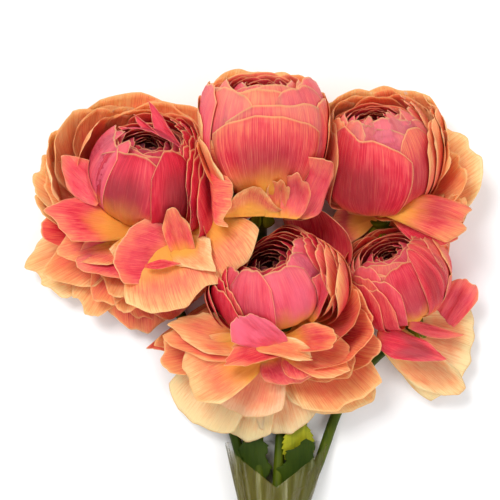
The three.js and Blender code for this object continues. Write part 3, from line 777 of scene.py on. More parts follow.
def loose_petals(petals, bloom, chance):
    """Adds the petals that have let go of the ball."""
    depth = bloom["radius"] * bloom["squat"] + ROOT_DEPTH
    foot = np.asarray(bloom["centre"]) - unit(bloom["axis"]) * depth
    for row in bloom["open"]:
        shape = {**by_chance(foot, chance), **row}
        marks = {key: shape.pop(key) for key in ("tone", "yellow", "rose", "dusk")}
        walls = bloom["walls"][:1] if shape.pop("over") else bloom["walls"]
        points, u, t = open_petal(**shape)
        points = press(clear_of_ball(points, bloom), walls)
        petals.add(points, u, t, seed=chance.uniform(0, 1), **marks)


def open_petals_of(bloom):
    """Everything outside the ball as one mesh that stands for the bloom's skirt."""
    petals = Petals()
    chance = np.random.default_rng(bloom["seed"] + 50)
    foot_petals(petals, bloom)
    front_petals(petals, bloom, chance)
    ruff_petals(petals, bloom, chance)
    loose_petals(petals, bloom, chance)
    return petals.build(bloom["name"] + "_open_petals", petal_tissue)


def grow(bloom):
    """Builds both pieces of a bloom and says what they ride on and stand for."""
    bloom["walls"] = walls_of(bloom["name"], bloom["lift"])
    for make, node in ((ball_of, "_heart"), (open_petals_of, "_skirt")):
        piece = make(bloom)
        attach(piece, "root")
        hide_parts(bloom["name"] + node)


print("each bloom is grown by", [make.__name__ for make in (ball_of, open_petals_of)])

# %% [markdown]
# ## The left bloom
#
# The widest of the five: rose front petals, a crimson pile on its right, orange petals
# behind, and a skirt of coral and cream petals spilling down to the left.

# %% Left bloom
LEFT = dict(
    name="left", centre=(-52, 39, 35.9), axis=(0.14, 0.81, 0.57), radius=28, squat=0.92,
    turn=-28, rise=0, lift=0, seed=3, paler=0.0, brim=0.74, hollow=0.2, blush=0.3,
    faces=[(0.38, 0.3), (0.40, 0.2), (0.50, 0.1), (0.40, 0.1)],
    front=[
        dict(azimuth=-84, share=1.02, top=144, half=34, tone=0.40, yellow=0.0, rose=0.4, fall=12),
        dict(azimuth=-62, share=1.03, top=141, half=30, tone=0.40, yellow=0.2, rose=0.5, fall=14),
        dict(azimuth=-36, share=0.98, top=150, half=17, tone=0.44, yellow=0.0, rose=0.6, fall=32),
        dict(azimuth=-72, share=0.98, top=153, half=16, tone=0.42, yellow=0.0, rose=0.5, fall=34),
        dict(azimuth=-14, share=1.05, top=139, half=44, tone=0.35, yellow=0.46, rose=0.1, dusk=0.75,
             fall=18),
        dict(azimuth=38, share=1.12, top=144, half=26, tone=0.32, yellow=0.3, dusk=0.7, fall=26),
    ],
    ruff=[
        (1.06, 78, 146, 26, 0.36, 0, 0.2), (1.10, 100, 150, 22, 0.34, 0, 0.1),
        (1.13, 72, 140, 26, 0.34, 0, 0.2), (1.18, 94, 138, 30, 0.30, 0, 0.2),
        (1.25, 74, 132, 30, 0.33, 0, 0.2), (1.33, 92, 130, 34, 0.29, 0, 0.2),
        (1.42, 78, 124, 36, 0.33, 0, 0.2), (1.53, 96, 122, 36, 0.31, 0, 0.2),
        (1.64, 86, 114, 40, 0.36, 1, 0.2), (1.05, 122, 152, 20, 0.32, 0, 0.1),
        (1.09, 140, 150, 20, 0.34, 0, 0.1), (1.13, 128, 146, 22, 0.36, 0, 0.1),
        (1.05, 160, 150, 26, 0.36, 0, 0.1), (1.20, 132, 136, 34, 0.40, 0, 0.2),
        (1.12, 176, 142, 34, 0.42, 0, 0.2), (1.30, 140, 130, 40, 0.52, 0, 0.2),
        (1.20, 190, 134, 44, 0.58, 0, 0.2), (1.40, 222, 115, 32, 0.64, 3, 0.3),
        (1.60, 150, 118, 48, 0.66, 2, 0.2), (1.14, 206, 124, 34, 0.58, 2, 0.2),
        (1.30, 172, 128, 42, 0.66, 3, 0.2), (1.20, 250, 128, 36, 0.62, 1, 0.2),
        (1.62, 200, 113, 54, 0.68, 4, 0.3), (1.50, 238, 112, 46, 0.70, 5, 0.3),
        (1.62, 262, 102, 36, 0.76, 4, 0.3),
    ],
    open=[
        dict(tip=(-108, 0, 8), face=(0.1, 0.1, 1), width=50, tone=0.80, cup=10),
        dict(tip=(-114, -8, 14), face=(0.1, 0.1, 1), width=44, tone=0.76, cup=15),
        dict(tip=(-112, 26, 24), face=(0.35, 0.3, 0.9), width=44, tone=0.72, cup=55, curl=-6),
        dict(tip=(-106, 46, 26), face=(0.4, 0.3, 0.9), width=42, tone=0.74, cup=40),
        dict(tip=(-101, 42, 38), face=(0.5, -0.2, 0.8), width=34, tone=0.68, cup=40),
        dict(root=(-72, 26, 46), tip=(-94, 45, 49), face=(0.4, -0.3, 0.85), width=21, tone=0.50,
             cup=30, claw=0.55, point=1.2, drop=0.5, yellow=0.0, rose=0.3),
        dict(tip=(-104, 6, 32), face=(0.1, 0.3, 0.9), width=34, tone=0.46, cup=40, bow=0.16,
             fold=3),
        dict(tip=(-106, -8, 26), face=(0.1, 0.2, 0.9), width=34, tone=0.66, cup=15, point=1.6,
             drop=0.4),
        dict(root=(-58, 13, 38), tip=(-99, 21, 46), face=(0.1, 0.3, 0.9), width=30, tone=0.47,
             cup=20, bow=-0.05, claw=0.5, point=1.5, drop=0.45, yellow=0.5, slant=-0.1),
        dict(root=(-60, 6, 34), tip=(-96, -4, 38), face=(0.1, 0.3, 0.9), width=26, tone=0.62,
             cup=25, bow=-0.02, point=1.3, drop=0.5, yellow=0.45),
        dict(root=(-58, 0, 34), tip=(-87, -9, 40), face=(0.1, 0.3, 0.9), width=26, tone=0.50,
             cup=20, bow=0, claw=0.4, point=1.2, drop=0.5, yellow=0.3, rose=0.2),
        dict(tip=(-82, -33, 18), face=(0, 0.1, 1), width=34, tone=0.76, cup=15, ruffle=2),
        dict(tip=(-57, -41, 12), face=(0, 0.1, 1), width=44, tone=0.52, cup=10, bow=0, ruffle=1.5),
        dict(tip=(-30, -37, 20), face=(0, 0.1, 1), width=44, tone=0.50, cup=20, bow=0, ruffle=1.5),
        dict(tip=(-76, -27, 28), face=(0, 0.2, 1), width=28, tone=0.60, cup=25, ruffle=2),
        dict(tip=(-60, -31, 28), face=(0, 0.2, 1), width=30, tone=0.72, cup=25, ruffle=2),
        dict(tip=(-68, -22, 38), face=(0, 0.3, 1), width=30, tone=0.66, cup=30, ruffle=1.5,
             yellow=0.6),
        dict(tip=(-8, -4, 30), face=(0, 0.1, 1), width=46, tone=0.60, cup=10, yellow=0.3),
        dict(tip=(-14, -26, 24), face=(0, 0.1, 1), width=50, tone=0.56, cup=10, yellow=0.3),
        dict(tip=(-44, -36, 14), face=(0, 0.1, 1), width=46, tone=0.52, cup=10, bow=0, ruffle=2),
        dict(tip=(12, 18, 46), face=(0, 0.1, 1), width=34, tone=0.84, cup=10, yellow=0.5),
        # These two sheets' long yellow washes are partly their yellow roots, partly painted shade
        # of the valley under the pile.
        dict(root=(-38, 14, 40), tip=(-22, -21, 56), face=(0, 0.1, 1), width=74, tone=0.66, cup=12,
             bow=-0.05, claw=0.4, yellow=0.62, over=True, point=2.6, drop=0.3, slant=0.1,
             lean=0),
        dict(root=(-42, 10, 40), tip=(-45, -19, 50), face=(0.1, 0.1, 0.9), width=46, tone=0.72,
             cup=15, bow=-0.05, claw=0.5, yellow=0.75, over=True, point=2.0),
        dict(root=(-36, 4, 46), tip=(-18, -11, 59), face=(0.1, 0.1, 0.9), width=22, tone=0.80,
             cup=20, bow=-0.05, claw=0.6, yellow=0.55, over=True, point=1.1, drop=0.6),
        dict(root=(-29, -5, 46), tip=(-64, 1, 59), face=(0.2, 0, 0.95), width=34, tone=0.50,
             cup=25, claw=0.5, yellow=0.4, point=3, drop=0.2, rose=0.2, over=True, lean=0,
             slant=-0.1, ragged=0.03, ruffle=0.6, twist=0, waves=1.5),
        dict(root=(-31, -7, 46), tip=(-38, 20, 61), face=(-0.3, -0.3, 0.9), width=15, tone=0.52,
             cup=30, claw=0.7, yellow=0.4, point=2, bow=0, over=True, ragged=0.02, slant=0,
             lean=0, twist=0),
        dict(root=(-34, 47, 52), tip=(-49, 73, 55), face=(-0.5, -0.4, 0.8), width=8, tone=0.36,
             cup=60, claw=0.6, yellow=0, point=1.3, drop=0.5, rose=0.3, bow=0.05, ruffle=0.3),
        dict(root=(-36, 46, 51), tip=(-57, 66, 56), face=(-0.5, -0.4, 0.8), width=7, tone=0.38,
             cup=60, claw=0.6, yellow=0, point=1.3, drop=0.5, rose=0.3, bow=0.05, ruffle=0.3),
        dict(root=(-38, 46, 49), tip=(-64, 60, 54), face=(-0.3, -0.6, 0.8), width=7, tone=0.40,
             cup=60, claw=0.6, yellow=0, point=1.3, drop=0.5, rose=0.3, bow=0.05, ruffle=0.3),
        dict(root=(-51, -8, 56), tip=(-34, -7, 55), face=(0, 0.3, 0.9), width=5, tone=0.46,
             cup=20, claw=0.3, yellow=0, bow=-0.1, point=1.2, drop=0.5),
        dict(tip=(-14, 1, 50), face=(-0.5, 0.2, 0.8), width=32, tone=0.40, cup=45, bow=0.12),
        dict(tip=(-20, 10, 54), face=(-0.8, 0.1, 0.6), width=34, tone=0.36, cup=40, bow=0.16),
    ],
)
grow(LEFT)

# %% [markdown]
# ## The crown bloom
#
# It stands at the top of the bunch and is seen from its side: one broad rose petal wraps
# the front, a peach rim shows behind, and frilled petals curl up round its foot.

# %% Crown bloom
CROWN = dict(
    name="crown", centre=(6, 61, 38), axis=(0, 0.95, 0.31), radius=31.6, squat=1.12,
    turn=-40, rise=0, lift=0, seed=4, paler=0.12, brim=0.70, hollow=0.2, blush=0.35,
    faces=[(0.50, 0.3), (0.54, 0.3), (0.66, 0.2), (0.56, 0.2)],
    front=[
        dict(azimuth=-40, share=1.03, top=130, half=30, tone=0.52, yellow=0.2, rose=0.4, fall=12),
        dict(azimuth=-2, share=1.02, top=131, half=44, tone=0.54, yellow=0.2, rose=0.2, fall=12),
        dict(azimuth=66, share=1.04, top=136, half=30, tone=0.46, yellow=0.2, rose=0.5, fall=10),
        dict(azimuth=40, share=1.05, top=131, half=30, tone=0.46, yellow=0.2, rose=0.4, fall=14),
        dict(azimuth=-72, share=1.07, top=129, half=26, tone=0.46, yellow=0.2, rose=0.5, fall=12),
        dict(azimuth=16, share=1.07, top=118, half=50, tone=0.48, yellow=0.3, rose=0.3, fall=14),
        dict(azimuth=3, share=1.11, top=109, half=47, tone=0.43, yellow=0.56, dusk=0.6, fall=15),
    ],
    ruff=[
        (1.06, 184, 124, 52, 0.84, 1, 0.3), (1.09, 200, 127, 40, 0.78, 1, 0.3),
        (1.04, 215, 126, 40, 0.66, 0, 0.3), (1.03, 130, 128, 40, 0.56, 0, 0.3),
        (1.08, 152, 124, 40, 0.80, 1, 0.3), (1.05, -96, 126, 36, 0.74, 0, 0.3),
        (1.10, 78, 116, 32, 0.48, 0, 0.3), (1.10, -90, 112, 34, 0.60, 0, 0.3),
        (1.15, 98, 112, 34, 0.52, 0, 0.3), (1.14, -58, 90, 24, 0.66, 2, 0.3),
        (1.17, -68, 84, 22, 0.58, 3, 0.3),
    ],
    open=[
        dict(tip=(-16, 16, 40), face=(0.2, 0.4, 0.9), width=36, tone=0.52, cup=30),
        dict(tip=(8, 14, 42), face=(0, 0.4, 0.9), width=36, tone=0.60, cup=30),
        dict(tip=(32, 18, 40), face=(-0.2, 0.4, 0.9), width=34, tone=0.50, cup=30),
        dict(root=(-26, 33, 44), tip=(-10, 31, 57), face=(0.2, 0, 0.9), width=46, tone=0.54, cup=10,
             claw=0.8, ruffle=1.4, waves=3.4, ragged=0.13, yellow=0, drop=0.12, point=3, lean=0,
             twist=0, bow=-0.1, slant=0.25),
        dict(root=(-1, 14, 46), tip=(0, 31, 65), face=(0.1, -0.4, 0.9), width=32, tone=0.70,
             cup=35, claw=0.85, point=1.0, drop=0.75, yellow=0.45, lean=0.1, twist=0, slant=0),
        dict(root=(12, 13, 46), tip=(14, 33, 63), face=(-0.1, -0.3, 0.9), width=12, tone=0.62,
             cup=40, claw=0.8, yellow=0.4, point=2.5, ragged=0.02, lean=0, slant=0, twist=0,
             drop=0.2),
        dict(root=(21, 13, 46), tip=(33, 44, 62), face=(-0.1, -0.3, 0.9), width=36, tone=0.50,
             cup=-25, claw=0.4, point=2, drop=0.3, fold=-3, rose=0.25, yellow=0.1, ruffle=1.5),
        dict(root=(19, 13, 49), tip=(23, 36, 66), face=(-0.2, -0.3, 0.9), width=16, tone=0.54,
             cup=30, claw=0.5, point=1.6, rose=0.25, yellow=0.2, ruffle=1, ragged=0.03, lean=0,
             dusk=0.4),
    ],
)
grow(CROWN)

# %% [markdown]
# ## The right bloom
#
# A rounder head with a rose front, coral petals standing round its opening, and a wide
# tan guard petal held out to the right.

# %% Right bloom
RIGHT = dict(
    name="right", centre=(63, 47, 36), axis=(-0.1, 0.86, 0.48), radius=28, squat=1.05,
    turn=30, rise=4, lift=0, seed=5, paler=0.12, brim=0.78, hollow=0.12, blush=0.5,
    faces=[(0.45, 0.3), (0.50, 0.2), (0.60, 0.1), (0.50, 0.1)],
    front=[
        dict(azimuth=-44, share=1.02, top=148, half=26, tone=0.54, yellow=0.0, rose=0.5, fall=14),
        dict(azimuth=20, share=0.99, top=149, half=40, tone=0.46, yellow=0.0, rose=0.7, fall=12,
             skew=-6),
        dict(azimuth=-6, share=1.02, top=142, half=44, tone=0.46, yellow=0.0, rose=0.6, fall=12,
             skew=-8),
        dict(azimuth=50, share=1.03, top=136, half=28, tone=0.52, yellow=0.1, rose=0.5, fall=14),
        dict(azimuth=-16, share=0.97, top=154, half=15, tone=0.50, yellow=0.0, rose=0.5, fall=38),
        dict(azimuth=28, share=0.97, top=156, half=14, tone=0.52, yellow=0.0, rose=0.6, fall=40),
        dict(azimuth=60, share=0.98, top=151, half=15, tone=0.48, yellow=0.0, rose=0.4, fall=34),
        dict(azimuth=42, share=1.07, top=130, half=28, tone=0.46, yellow=0.35, dusk=0.4, fall=30),
        dict(azimuth=-33, share=1.11, top=131, half=60, tone=0.38, yellow=0.32, dusk=0.75, fall=18,
             skew=-9, wave=0.8, ragged=3),
    ],
    ruff=[
        (1.12, 72, 122, 26, 0.56, 1, 0.3), (1.17, 84, 124, 28, 0.60, 2, 0.3),
        (1.21, 94, 124, 30, 0.60, 3, 0.3), (1.03, 84, 144, 24, 0.48, 0, 0.1),
        (1.06, 110, 146, 22, 0.50, 0, 0.1), (1.10, 96, 140, 26, 0.54, 0, 0.1),
        (1.08, 136, 140, 28, 0.52, 1, 0.2), (1.16, 150, 132, 38, 0.60, 2, 0.2),
        (1.05, 165, 142, 32, 0.56, 0, 0.1), (1.10, 192, 136, 38, 0.62, 1, 0.2),
        (1.24, 186, 128, 46, 0.72, 2, 0.2), (1.14, 225, 134, 38, 0.66, 0, 0.2),
        (1.26, 112, 126, 34, 0.68, 2, 0.3), (1.06, -86, 138, 30, 0.54, 0, 0.2),
        (1.34, 146, 124, 44, 0.74, 2, 0.2), (1.33, 204, 122, 42, 0.76, 1, 0.2),
        (1.14, 250, 128, 36, 0.62, 0, 0.2), (1.20, -98, 120, 34, 0.56, 0, 0.3),
    ],
    open=[
        dict(tip=(112, 54, 28), face=(-0.3, 0.1, 1), width=50, tone=0.84, cup=25),
        dict(tip=(105, 45, 40), face=(-0.6, 0.1, 1), width=36, tone=0.70, cup=40, bow=0.2),
        dict(tip=(96, 58, 50), face=(-0.7, 0, 0.8), width=28, tone=0.64, cup=50, bow=0.2,
             ruffle=2.5),
        dict(tip=(50, 12, 30), face=(0, 0.3, 1), width=44, tone=0.50, cup=30, ruffle=2),
        dict(tip=(42, 18, 17), face=(0, 0.2, 1), width=28, tone=0.52, cup=20, yellow=0.6,
             dusk=0.5, over=True),
        dict(tip=(66, 9, 30), face=(0, 0.2, 1), width=36, tone=0.56, cup=20, yellow=0.5),
        dict(tip=(84, 8, 40), face=(0, 0.3, 1), width=44, tone=0.58, cup=10, ruffle=2),
        dict(root=(97, 6, 34), tip=(105, 27, 38), face=(-0.2, 0.1, 1), width=13, tone=0.70, cup=20,
             claw=0.6, over=True),
        dict(root=(74, 18, 34), tip=(100, 5, 44), face=(0, 0.4, 1), width=24, tone=0.40, cup=-30,
             bow=-0.14, ruffle=2, waves=1.6, yellow=0.2, claw=0.4, over=True),
        dict(root=(64, 22, 36), tip=(106, 15, 50), face=(0, 0.4, 1), width=25, tone=0.53,
             dusk=0.4, cup=-35, bow=-0.16, ruffle=2.8, waves=2.0, yellow=0.5, claw=0.35,
             point=3.5, drop=0.14, fold=-2, slant=0, lean=0, ragged=0.05, over=True),
    ],
)
grow(RIGHT)

# %% [markdown]
# ## The front bloom
#
# The nearest head. Its opening is dark, its ball rose pink, and below it petals spread in
# layers from coral through peach to a cream hem at the bottom.

# %% Front bloom
FRONT = dict(
    name="front", centre=(11, -14, 42), axis=(-0.2, 0.76, 0.62), radius=26, squat=0.92,
    turn=5, rise=-2, lift=9, seed=6, paler=-0.06, brim=0.66, hollow=0.42, blush=0.1,
    faces=[(0.40, 0.3), (0.42, 0.3), (0.36, 0.2), (0.36, 0.2)],
    front=[
        dict(azimuth=72, share=1.00, top=148, half=30, tone=0.44, yellow=0.1, rose=0.6, fall=12),
        dict(azimuth=44, share=1.02, top=144, half=26, tone=0.42, yellow=0.3, rose=0.6, fall=16),
        dict(azimuth=-66, share=1.03, top=138, half=24, tone=0.40, yellow=0.1, rose=0.4, fall=18),
        dict(azimuth=10, share=1.03, top=139, half=34, tone=0.44, yellow=0.5, rose=0.7, fall=14),
        dict(azimuth=-32, share=1.08, top=143, half=27, tone=0.40, yellow=0.2, rose=0.4, dusk=0.35,
             fall=22),
    ],
    ruff=[
        (1.08, -84, 132, 26, 0.34, 0, 0.2), (1.12, -58, 116, 20, 0.42, 0, 0.2),
        (1.15, -84, 124, 30, 0.30, 0, 0.2), (1.21, -66, 114, 26, 0.33, 0, 0.2),
        (1.09, 96, 136, 26, 0.36, 0, 0.2), (1.12, 80, 138, 24, 0.40, 0, 0.2),
        (1.17, 94, 132, 28, 0.36, 0, 0.3), (1.22, 74, 128, 26, 0.44, 1, 0.3),
        (1.29, 94, 126, 34, 0.40, 0, 0.3), (1.36, 80, 122, 36, 0.50, 0, 0.3),
        (1.43, 98, 120, 40, 0.46, 0, 0.3), (1.50, 84, 116, 40, 0.54, 1, 0.3),
        (1.57, 104, 114, 40, 0.54, 1, 0.3), (1.12, 140, 134, 36, 0.32, 0, 0.3),
        (1.22, 155, 126, 42, 0.38, 0, 0.3), (1.12, 200, 132, 36, 0.30, 0, 0.3),
        (1.15, 240, 126, 34, 0.32, 0, 0.3), (1.26, 262, 114, 36, 0.38, 1, 0.3),
        (1.33, 176, 120, 44, 0.38, 0, 0.2), (1.40, 212, 116, 44, 0.42, 0, 0.2),
        (1.46, 150, 118, 44, 0.46, 1, 0.2), (1.34, 250, 110, 40, 0.44, 0, 0.2),
        (1.56, 128, 122, 34, 0.40, 1, 0.2), (1.62, 130, 120, 32, 0.42, 1, 0.2, "loose"),
    ],
    open=[
        dict(tip=(-59, -43, 24), face=(0.1, 0.1, 1), width=34, tone=0.46, cup=20, point=1.4,
             ragged=0.02, slant=0, dusk=0.3),
        dict(root=(-6, -54, 24), tip=(-30, -88, 12), face=(0, 0.1, 1), width=42, tone=0.98,
             cup=-10, bow=0, drop=0.2, claw=0.5, yellow=0.1, fold=1, slant=0, point=3.2,
             ragged=0.02, lean=0, ruffle=0.5),
        dict(root=(10, -54, 24), tip=(20, -94, 15), face=(0, 0.1, 1), width=36, tone=0.94,
             cup=-10, bow=0, drop=0.22, claw=0.5, yellow=0.1, fold=-2, slant=0, rose=0.1,
             point=3, ragged=0.02, lean=0),
        dict(root=(2, -54, 22), tip=(-8, -96, 10), face=(0, 0.1, 1), width=36, tone=0.96, cup=0,
             bow=0, drop=0.2, claw=0.6, yellow=0.1, slant=-0.05, point=3, ragged=0.02, lean=0),
        dict(tip=(56, -80, 22), face=(-0.1, 0.2, 1), width=50, tone=0.74, cup=10, bow=0.05,
             point=3, ragged=0.02),
        dict(tip=(-50, -42, 28), face=(0.1, 0.1, 1), width=30, tone=0.60, cup=20, point=1.6),
        dict(root=(6, -50, 30), tip=(-7, -82, 27), face=(0, 0.1, 1), width=42, tone=0.84, cup=5,
             bow=-0.05, claw=0.45, yellow=0.2, rose=0.25, point=3, ragged=0.02, lean=0, ruffle=0.6,
             drop=0.25),
        dict(tip=(-45, -52, 32), face=(0.1, 0.3, 1), width=36, tone=0.58, cup=35, bow=0.12,
             point=2.4),
        dict(tip=(62, -68, 32), face=(-0.1, 0.2, 1), width=54, tone=0.70, cup=25, bow=0.15,
             point=3),
        dict(root=(8, -46, 38), tip=(-43, -44, 44), face=(0.1, 0.3, 1), width=26, tone=0.60,
             cup=35, bow=0.05, point=1.5, drop=0.45, yellow=0.5),
        dict(root=(6, -47, 38), tip=(-40, -36, 47), face=(0.1, 0.3, 1), width=22, tone=0.70,
             cup=40, bow=0.05, point=1.5, drop=0.4, yellow=0.5),
        dict(root=(8, -48, 38), tip=(-31, -65, 40), face=(0.1, 0.3, 1), width=36, tone=0.74,
             cup=30, bow=-0.03, claw=0.3, yellow=0.55, fold=1.5, point=3, drop=0.25, ragged=0.03,
             slant=0),
        dict(tip=(66, -46, 40), face=(-0.4, 0.1, 0.9), width=64, tone=0.60, cup=40, bow=0.2,
             point=3),
        dict(tip=(46, -66, 38), face=(-0.1, 0.3, 1), width=34, tone=0.62, cup=30, bow=0.12,
             point=1.7),
        dict(root=(12, -50, 38), tip=(22, -68, 40), face=(0, 0.3, 1), width=30, tone=0.52,
             cup=30, bow=-0.03, claw=0.4, point=1.4, rose=0.3),
        dict(tip=(61, -38, 50), face=(-0.5, 0.3, 0.9), width=56, tone=0.56, cup=60, bow=0.25,
             point=2.6, slant=0),
        dict(root=(14, -46, 42), tip=(50, -56, 48), face=(-0.1, 0.5, 0.9), width=26, tone=0.64,
             cup=30, bow=0.02, claw=0.3, point=1.8, yellow=0.4),
        dict(root=(20, -48, 42), tip=(30, -62, 47), face=(0, 0.5, 0.9), width=22, tone=0.50,
             cup=40, bow=0, claw=0.4, point=1.4, drop=0.45, rose=0.2),
        dict(tip=(53, -28, 56), face=(-0.6, 0.3, 0.8), width=48, tone=0.54, cup=60, bow=0.25,
             yellow=0.45, point=2.6, slant=0),
        dict(root=(16, -44, 46), tip=(42, -44, 57), face=(-0.2, 0.4, 0.9), width=18, tone=0.58,
             cup=50, bow=0.08, yellow=0.4, fold=3),
        dict(root=(20, -46, 48), tip=(-12, -54, 54), face=(0, 0.5, 0.9), width=17, tone=0.50,
             cup=40, bow=-0.06, claw=0.4, point=1.6, yellow=0.1),
        dict(root=(0, -46, 50), tip=(31, -53, 54), face=(0, 0.5, 0.9), width=12, tone=0.74,
             cup=40, bow=-0.08, claw=0.4, point=1.6, yellow=0.2, lean=0, slant=0),
        dict(root=(13, -47, 52), tip=(-2, -30, 65), face=(-0.3, -0.5, 0.9), width=24, tone=0.42,
             cup=30, bow=-0.06, claw=0.55, yellow=0.0, rose=0.9, point=2.0, drop=0.35),
        dict(tip=(43, -10, 58), face=(-0.8, 0.1, 0.6), width=34, tone=0.52, cup=60, bow=0.2,
             ruffle=2, yellow=0.4),
        dict(root=(28, -34, 46), tip=(38, -12, 64), face=(-0.6, -0.3, 0.7), width=14, tone=0.46,
             cup=60, bow=0.05, claw=0.5, yellow=0.3, rose=0.4, point=1.6),
    ],
)
grow(FRONT)

# %% [markdown]
# ## The small bloom
#
# The youngest head, still mostly closed. Off its right hang two cream petals with narrow
# pink ones folded over them, and one short pink petal stands up beside them.

# %% Small bloom
SMALL = dict(
    name="small", centre=(73, -13, 34), axis=(-0.35, 0.8, 0.48), radius=24.5, squat=0.92,
    turn=15, rise=2, lift=7, seed=7, paler=0.06, brim=0.74, hollow=0.3, blush=0.35,
    faces=[(0.40, 0.3), (0.44, 0.2), (0.50, 0.1), (0.44, 0.1)],
    front=[
        dict(azimuth=-54, share=1.01, top=140, half=26, tone=0.42, yellow=0.1, rose=0.3, fall=14),
        dict(azimuth=4, share=1.02, top=134, half=30, tone=0.38, yellow=0.4, rose=0.1, fall=16,
             dusk=0.5),
        dict(azimuth=84, share=1.02, top=146, half=20, tone=0.44, yellow=0.1, fall=20, dusk=0.3),
        dict(azimuth=72, share=1.04, top=146, half=18, tone=0.42, yellow=0.1, fall=24, dusk=0.3),
        dict(azimuth=59, share=1.06, top=147, half=17, tone=0.44, yellow=0.1, fall=28, dusk=0.3),
        dict(azimuth=45, share=1.08, top=147, half=15, tone=0.42, yellow=0.15, fall=34, dusk=0.4),
        dict(azimuth=30, share=1.10, top=143, half=14, tone=0.40, yellow=0.3, fall=44, dusk=0.5),
        dict(azimuth=-34, share=1.07, top=122, half=26, tone=0.38, yellow=0.2, rose=0.2, fall=20),
        dict(azimuth=62, share=1.13, top=80, half=18, tone=0.50, yellow=0.2, start=22),
    ],
    ruff=[
        (1.10, -60, 124, 26, 0.44, 0, 0.2), (1.15, -44, 110, 22, 0.42, 0, 0.2),
        (1.20, -70, 114, 28, 0.42, 0, 0.2), (1.06, 84, 138, 24, 0.46, 0, 0.1),
        (1.10, 74, 132, 24, 0.48, 0, 0.2), (1.15, 92, 124, 30, 0.52, 0, 0.2),
        (1.06, 116, 138, 28, 0.46, 0, 0.1), (1.12, 128, 132, 34, 0.50, 0, 0.2),
        (1.06, 160, 138, 30, 0.46, 0, 0.1), (1.12, 180, 132, 36, 0.50, 0, 0.2),
        (1.06, 205, 138, 28, 0.46, 0, 0.1), (1.12, 226, 130, 34, 0.46, 0, 0.2),
        (1.18, 200, 124, 40, 0.50, 0, 0.2), (1.24, 160, 120, 42, 0.46, 0, 0.2),
        (1.34, 190, 116, 42, 0.46, 1, 0.2, "loose"), (1.30, 225, 118, 42, 0.44, 0, 0.2),
        (1.52, 176, 112, 42, 0.50, 1, 0.2, "loose"), (1.70, 198, 116, 40, 0.48, 1, 0.2, "loose"),
        (1.64, 160, 112, 40, 0.48, 1, 0.2, "loose"),
        (1.48, 212, 114, 44, 0.46, 1, 0.2, "loose"),
    ],
    open=[
        dict(root=(98, -40, 12), tip=(112, -16, 22), face=(0, 0, 1), width=17, tone=0.50, cup=15,
             dusk=0.3, ragged=0.02, point=3, claw=0.6, yellow=0, bow=0, rose=0.4, drop=0.2,
             slant=0, lean=0),
        dict(root=(86, -18, 22), tip=(98, 4, 30), face=(-0.6, 0, 0.8), width=8, tone=0.52,
             cup=20, claw=0.5),
        dict(root=(72, -40, 20), tip=(113, -57, 14), face=(0, 0.1, 1), width=54, tone=0.88,
             dusk=0.4, cup=-20, bow=-0.03, claw=0.3, yellow=0.1, fold=-2, ruffle=0.7, waves=5,
             point=3, drop=0.2, lean=0, slant=0, twist=0, ragged=0.03),
        dict(root=(69, -43, 24), tip=(108, -74, 17), face=(0.1, 0.1, 1), width=23, tone=0.84,
             dusk=0.3, ragged=0.02, cup=-25, bow=-0.04, claw=0.6, yellow=0.3, fold=-2, point=2,
             drop=0.3, lean=0, twist=0, slant=-0.1),
        dict(root=(80, -37, 30), tip=(109, -43, 30), face=(0, 0.3, 1), width=7, tone=0.54, cup=-40,
             claw=0.7, point=1.2, drop=0.5, yellow=0, rose=0.3),
        dict(root=(63, -44, 33), tip=(99, -55, 35), face=(0, 0.3, 1), width=18, tone=0.40,
             dusk=0.85, cup=-60, claw=1.0, bow=-0.06, point=1.2, drop=0.6, yellow=0, rose=0.2,
             slant=-0.1, ruffle=1.4, waves=2.4, lean=0, twist=0),
    ],
)
grow(SMALL)

# %% [markdown]
# ## Stems
#
# A stem is a round profile carried along a path. The path is a smooth curve through a few
# points: out of the bloom's foot, down to the table and into the film. A ranunculus stem
# is hollow and faintly ribbed, so its profile has shallow flutes.

# %% Paths and profiles
NECK_Y = -160
STEM_WAYS = {
    "left": [(-50, 0, 9), (-38, -30, 3.7), (-11, -88, 4), (-2, -120, 4.8), (8, NECK_Y, 5.8),
             (9, -192, 4.6)],
    "crown": [(6, 8, 9), (4, -12, 3.7), (4, -60, 3.7), (4.5, -112, 7.4), (5.2, -138, 11.4),
              (6, NECK_Y, 11.8), (2, -190, 13)],
    "right": [(64, 4, 8), (58, -14, 3.7), (44, -45, 3.7), (31, -72, 3.8), (24, -112, 4.8),
              (14.4, NECK_Y, 5.8), (16, -194, 4.8)],
    "front": [(20, -52, 12), (18, -68, 4.4), (16, -95, 5.4), (14, -125, 10.8),
              (11, NECK_Y, 15.6), (10.5, -196, 17)],
    "small": [(72, -50, 8), (60, -62, 4.2), (48, -79, 4.2), (36, -110, 7),
              (16.4, NECK_Y, 11.8), (21, -188, 12.6)],
}
STEM_RADIUS = 2.6
FLUTES = 6


def curve_through(points, per_span=12):
    """A centripetal Catmull-Rom curve: between two points it is the cubic that leaves and
    arrives with the slopes that the neighbours give, weighted by root of distance."""
    p = np.asarray(points, float)
    p = np.vstack([2 * p[0] - p[1], p, 2 * p[-1] - p[-2]])
    step = np.sqrt(np.linalg.norm(np.diff(p, axis=0), axis=1))[:, None]
    s = np.linspace(0, 1, per_span, endpoint=False)[:, None, None]
    a, b, c, d = p[:-3], p[1:-2], p[2:-1], p[3:]
    h0, h1, h2 = step[:-2], step[1:-1], step[2:]
    leave = ((b - a) / h0 - (c - a) / (h0 + h1) + (c - b) / h1) * h1
    arrive = ((c - b) / h1 - (d - b) / (h1 + h2) + (d - c) / h2) * h1
    spans = (b + leave * s + (3 * (c - b) - 2 * leave - arrive) * s ** 2
             + (2 * (b - c) + leave + arrive) * s ** 3)
    return np.vstack([spans.transpose(1, 0, 2).reshape(-1, 3), p[-2]])


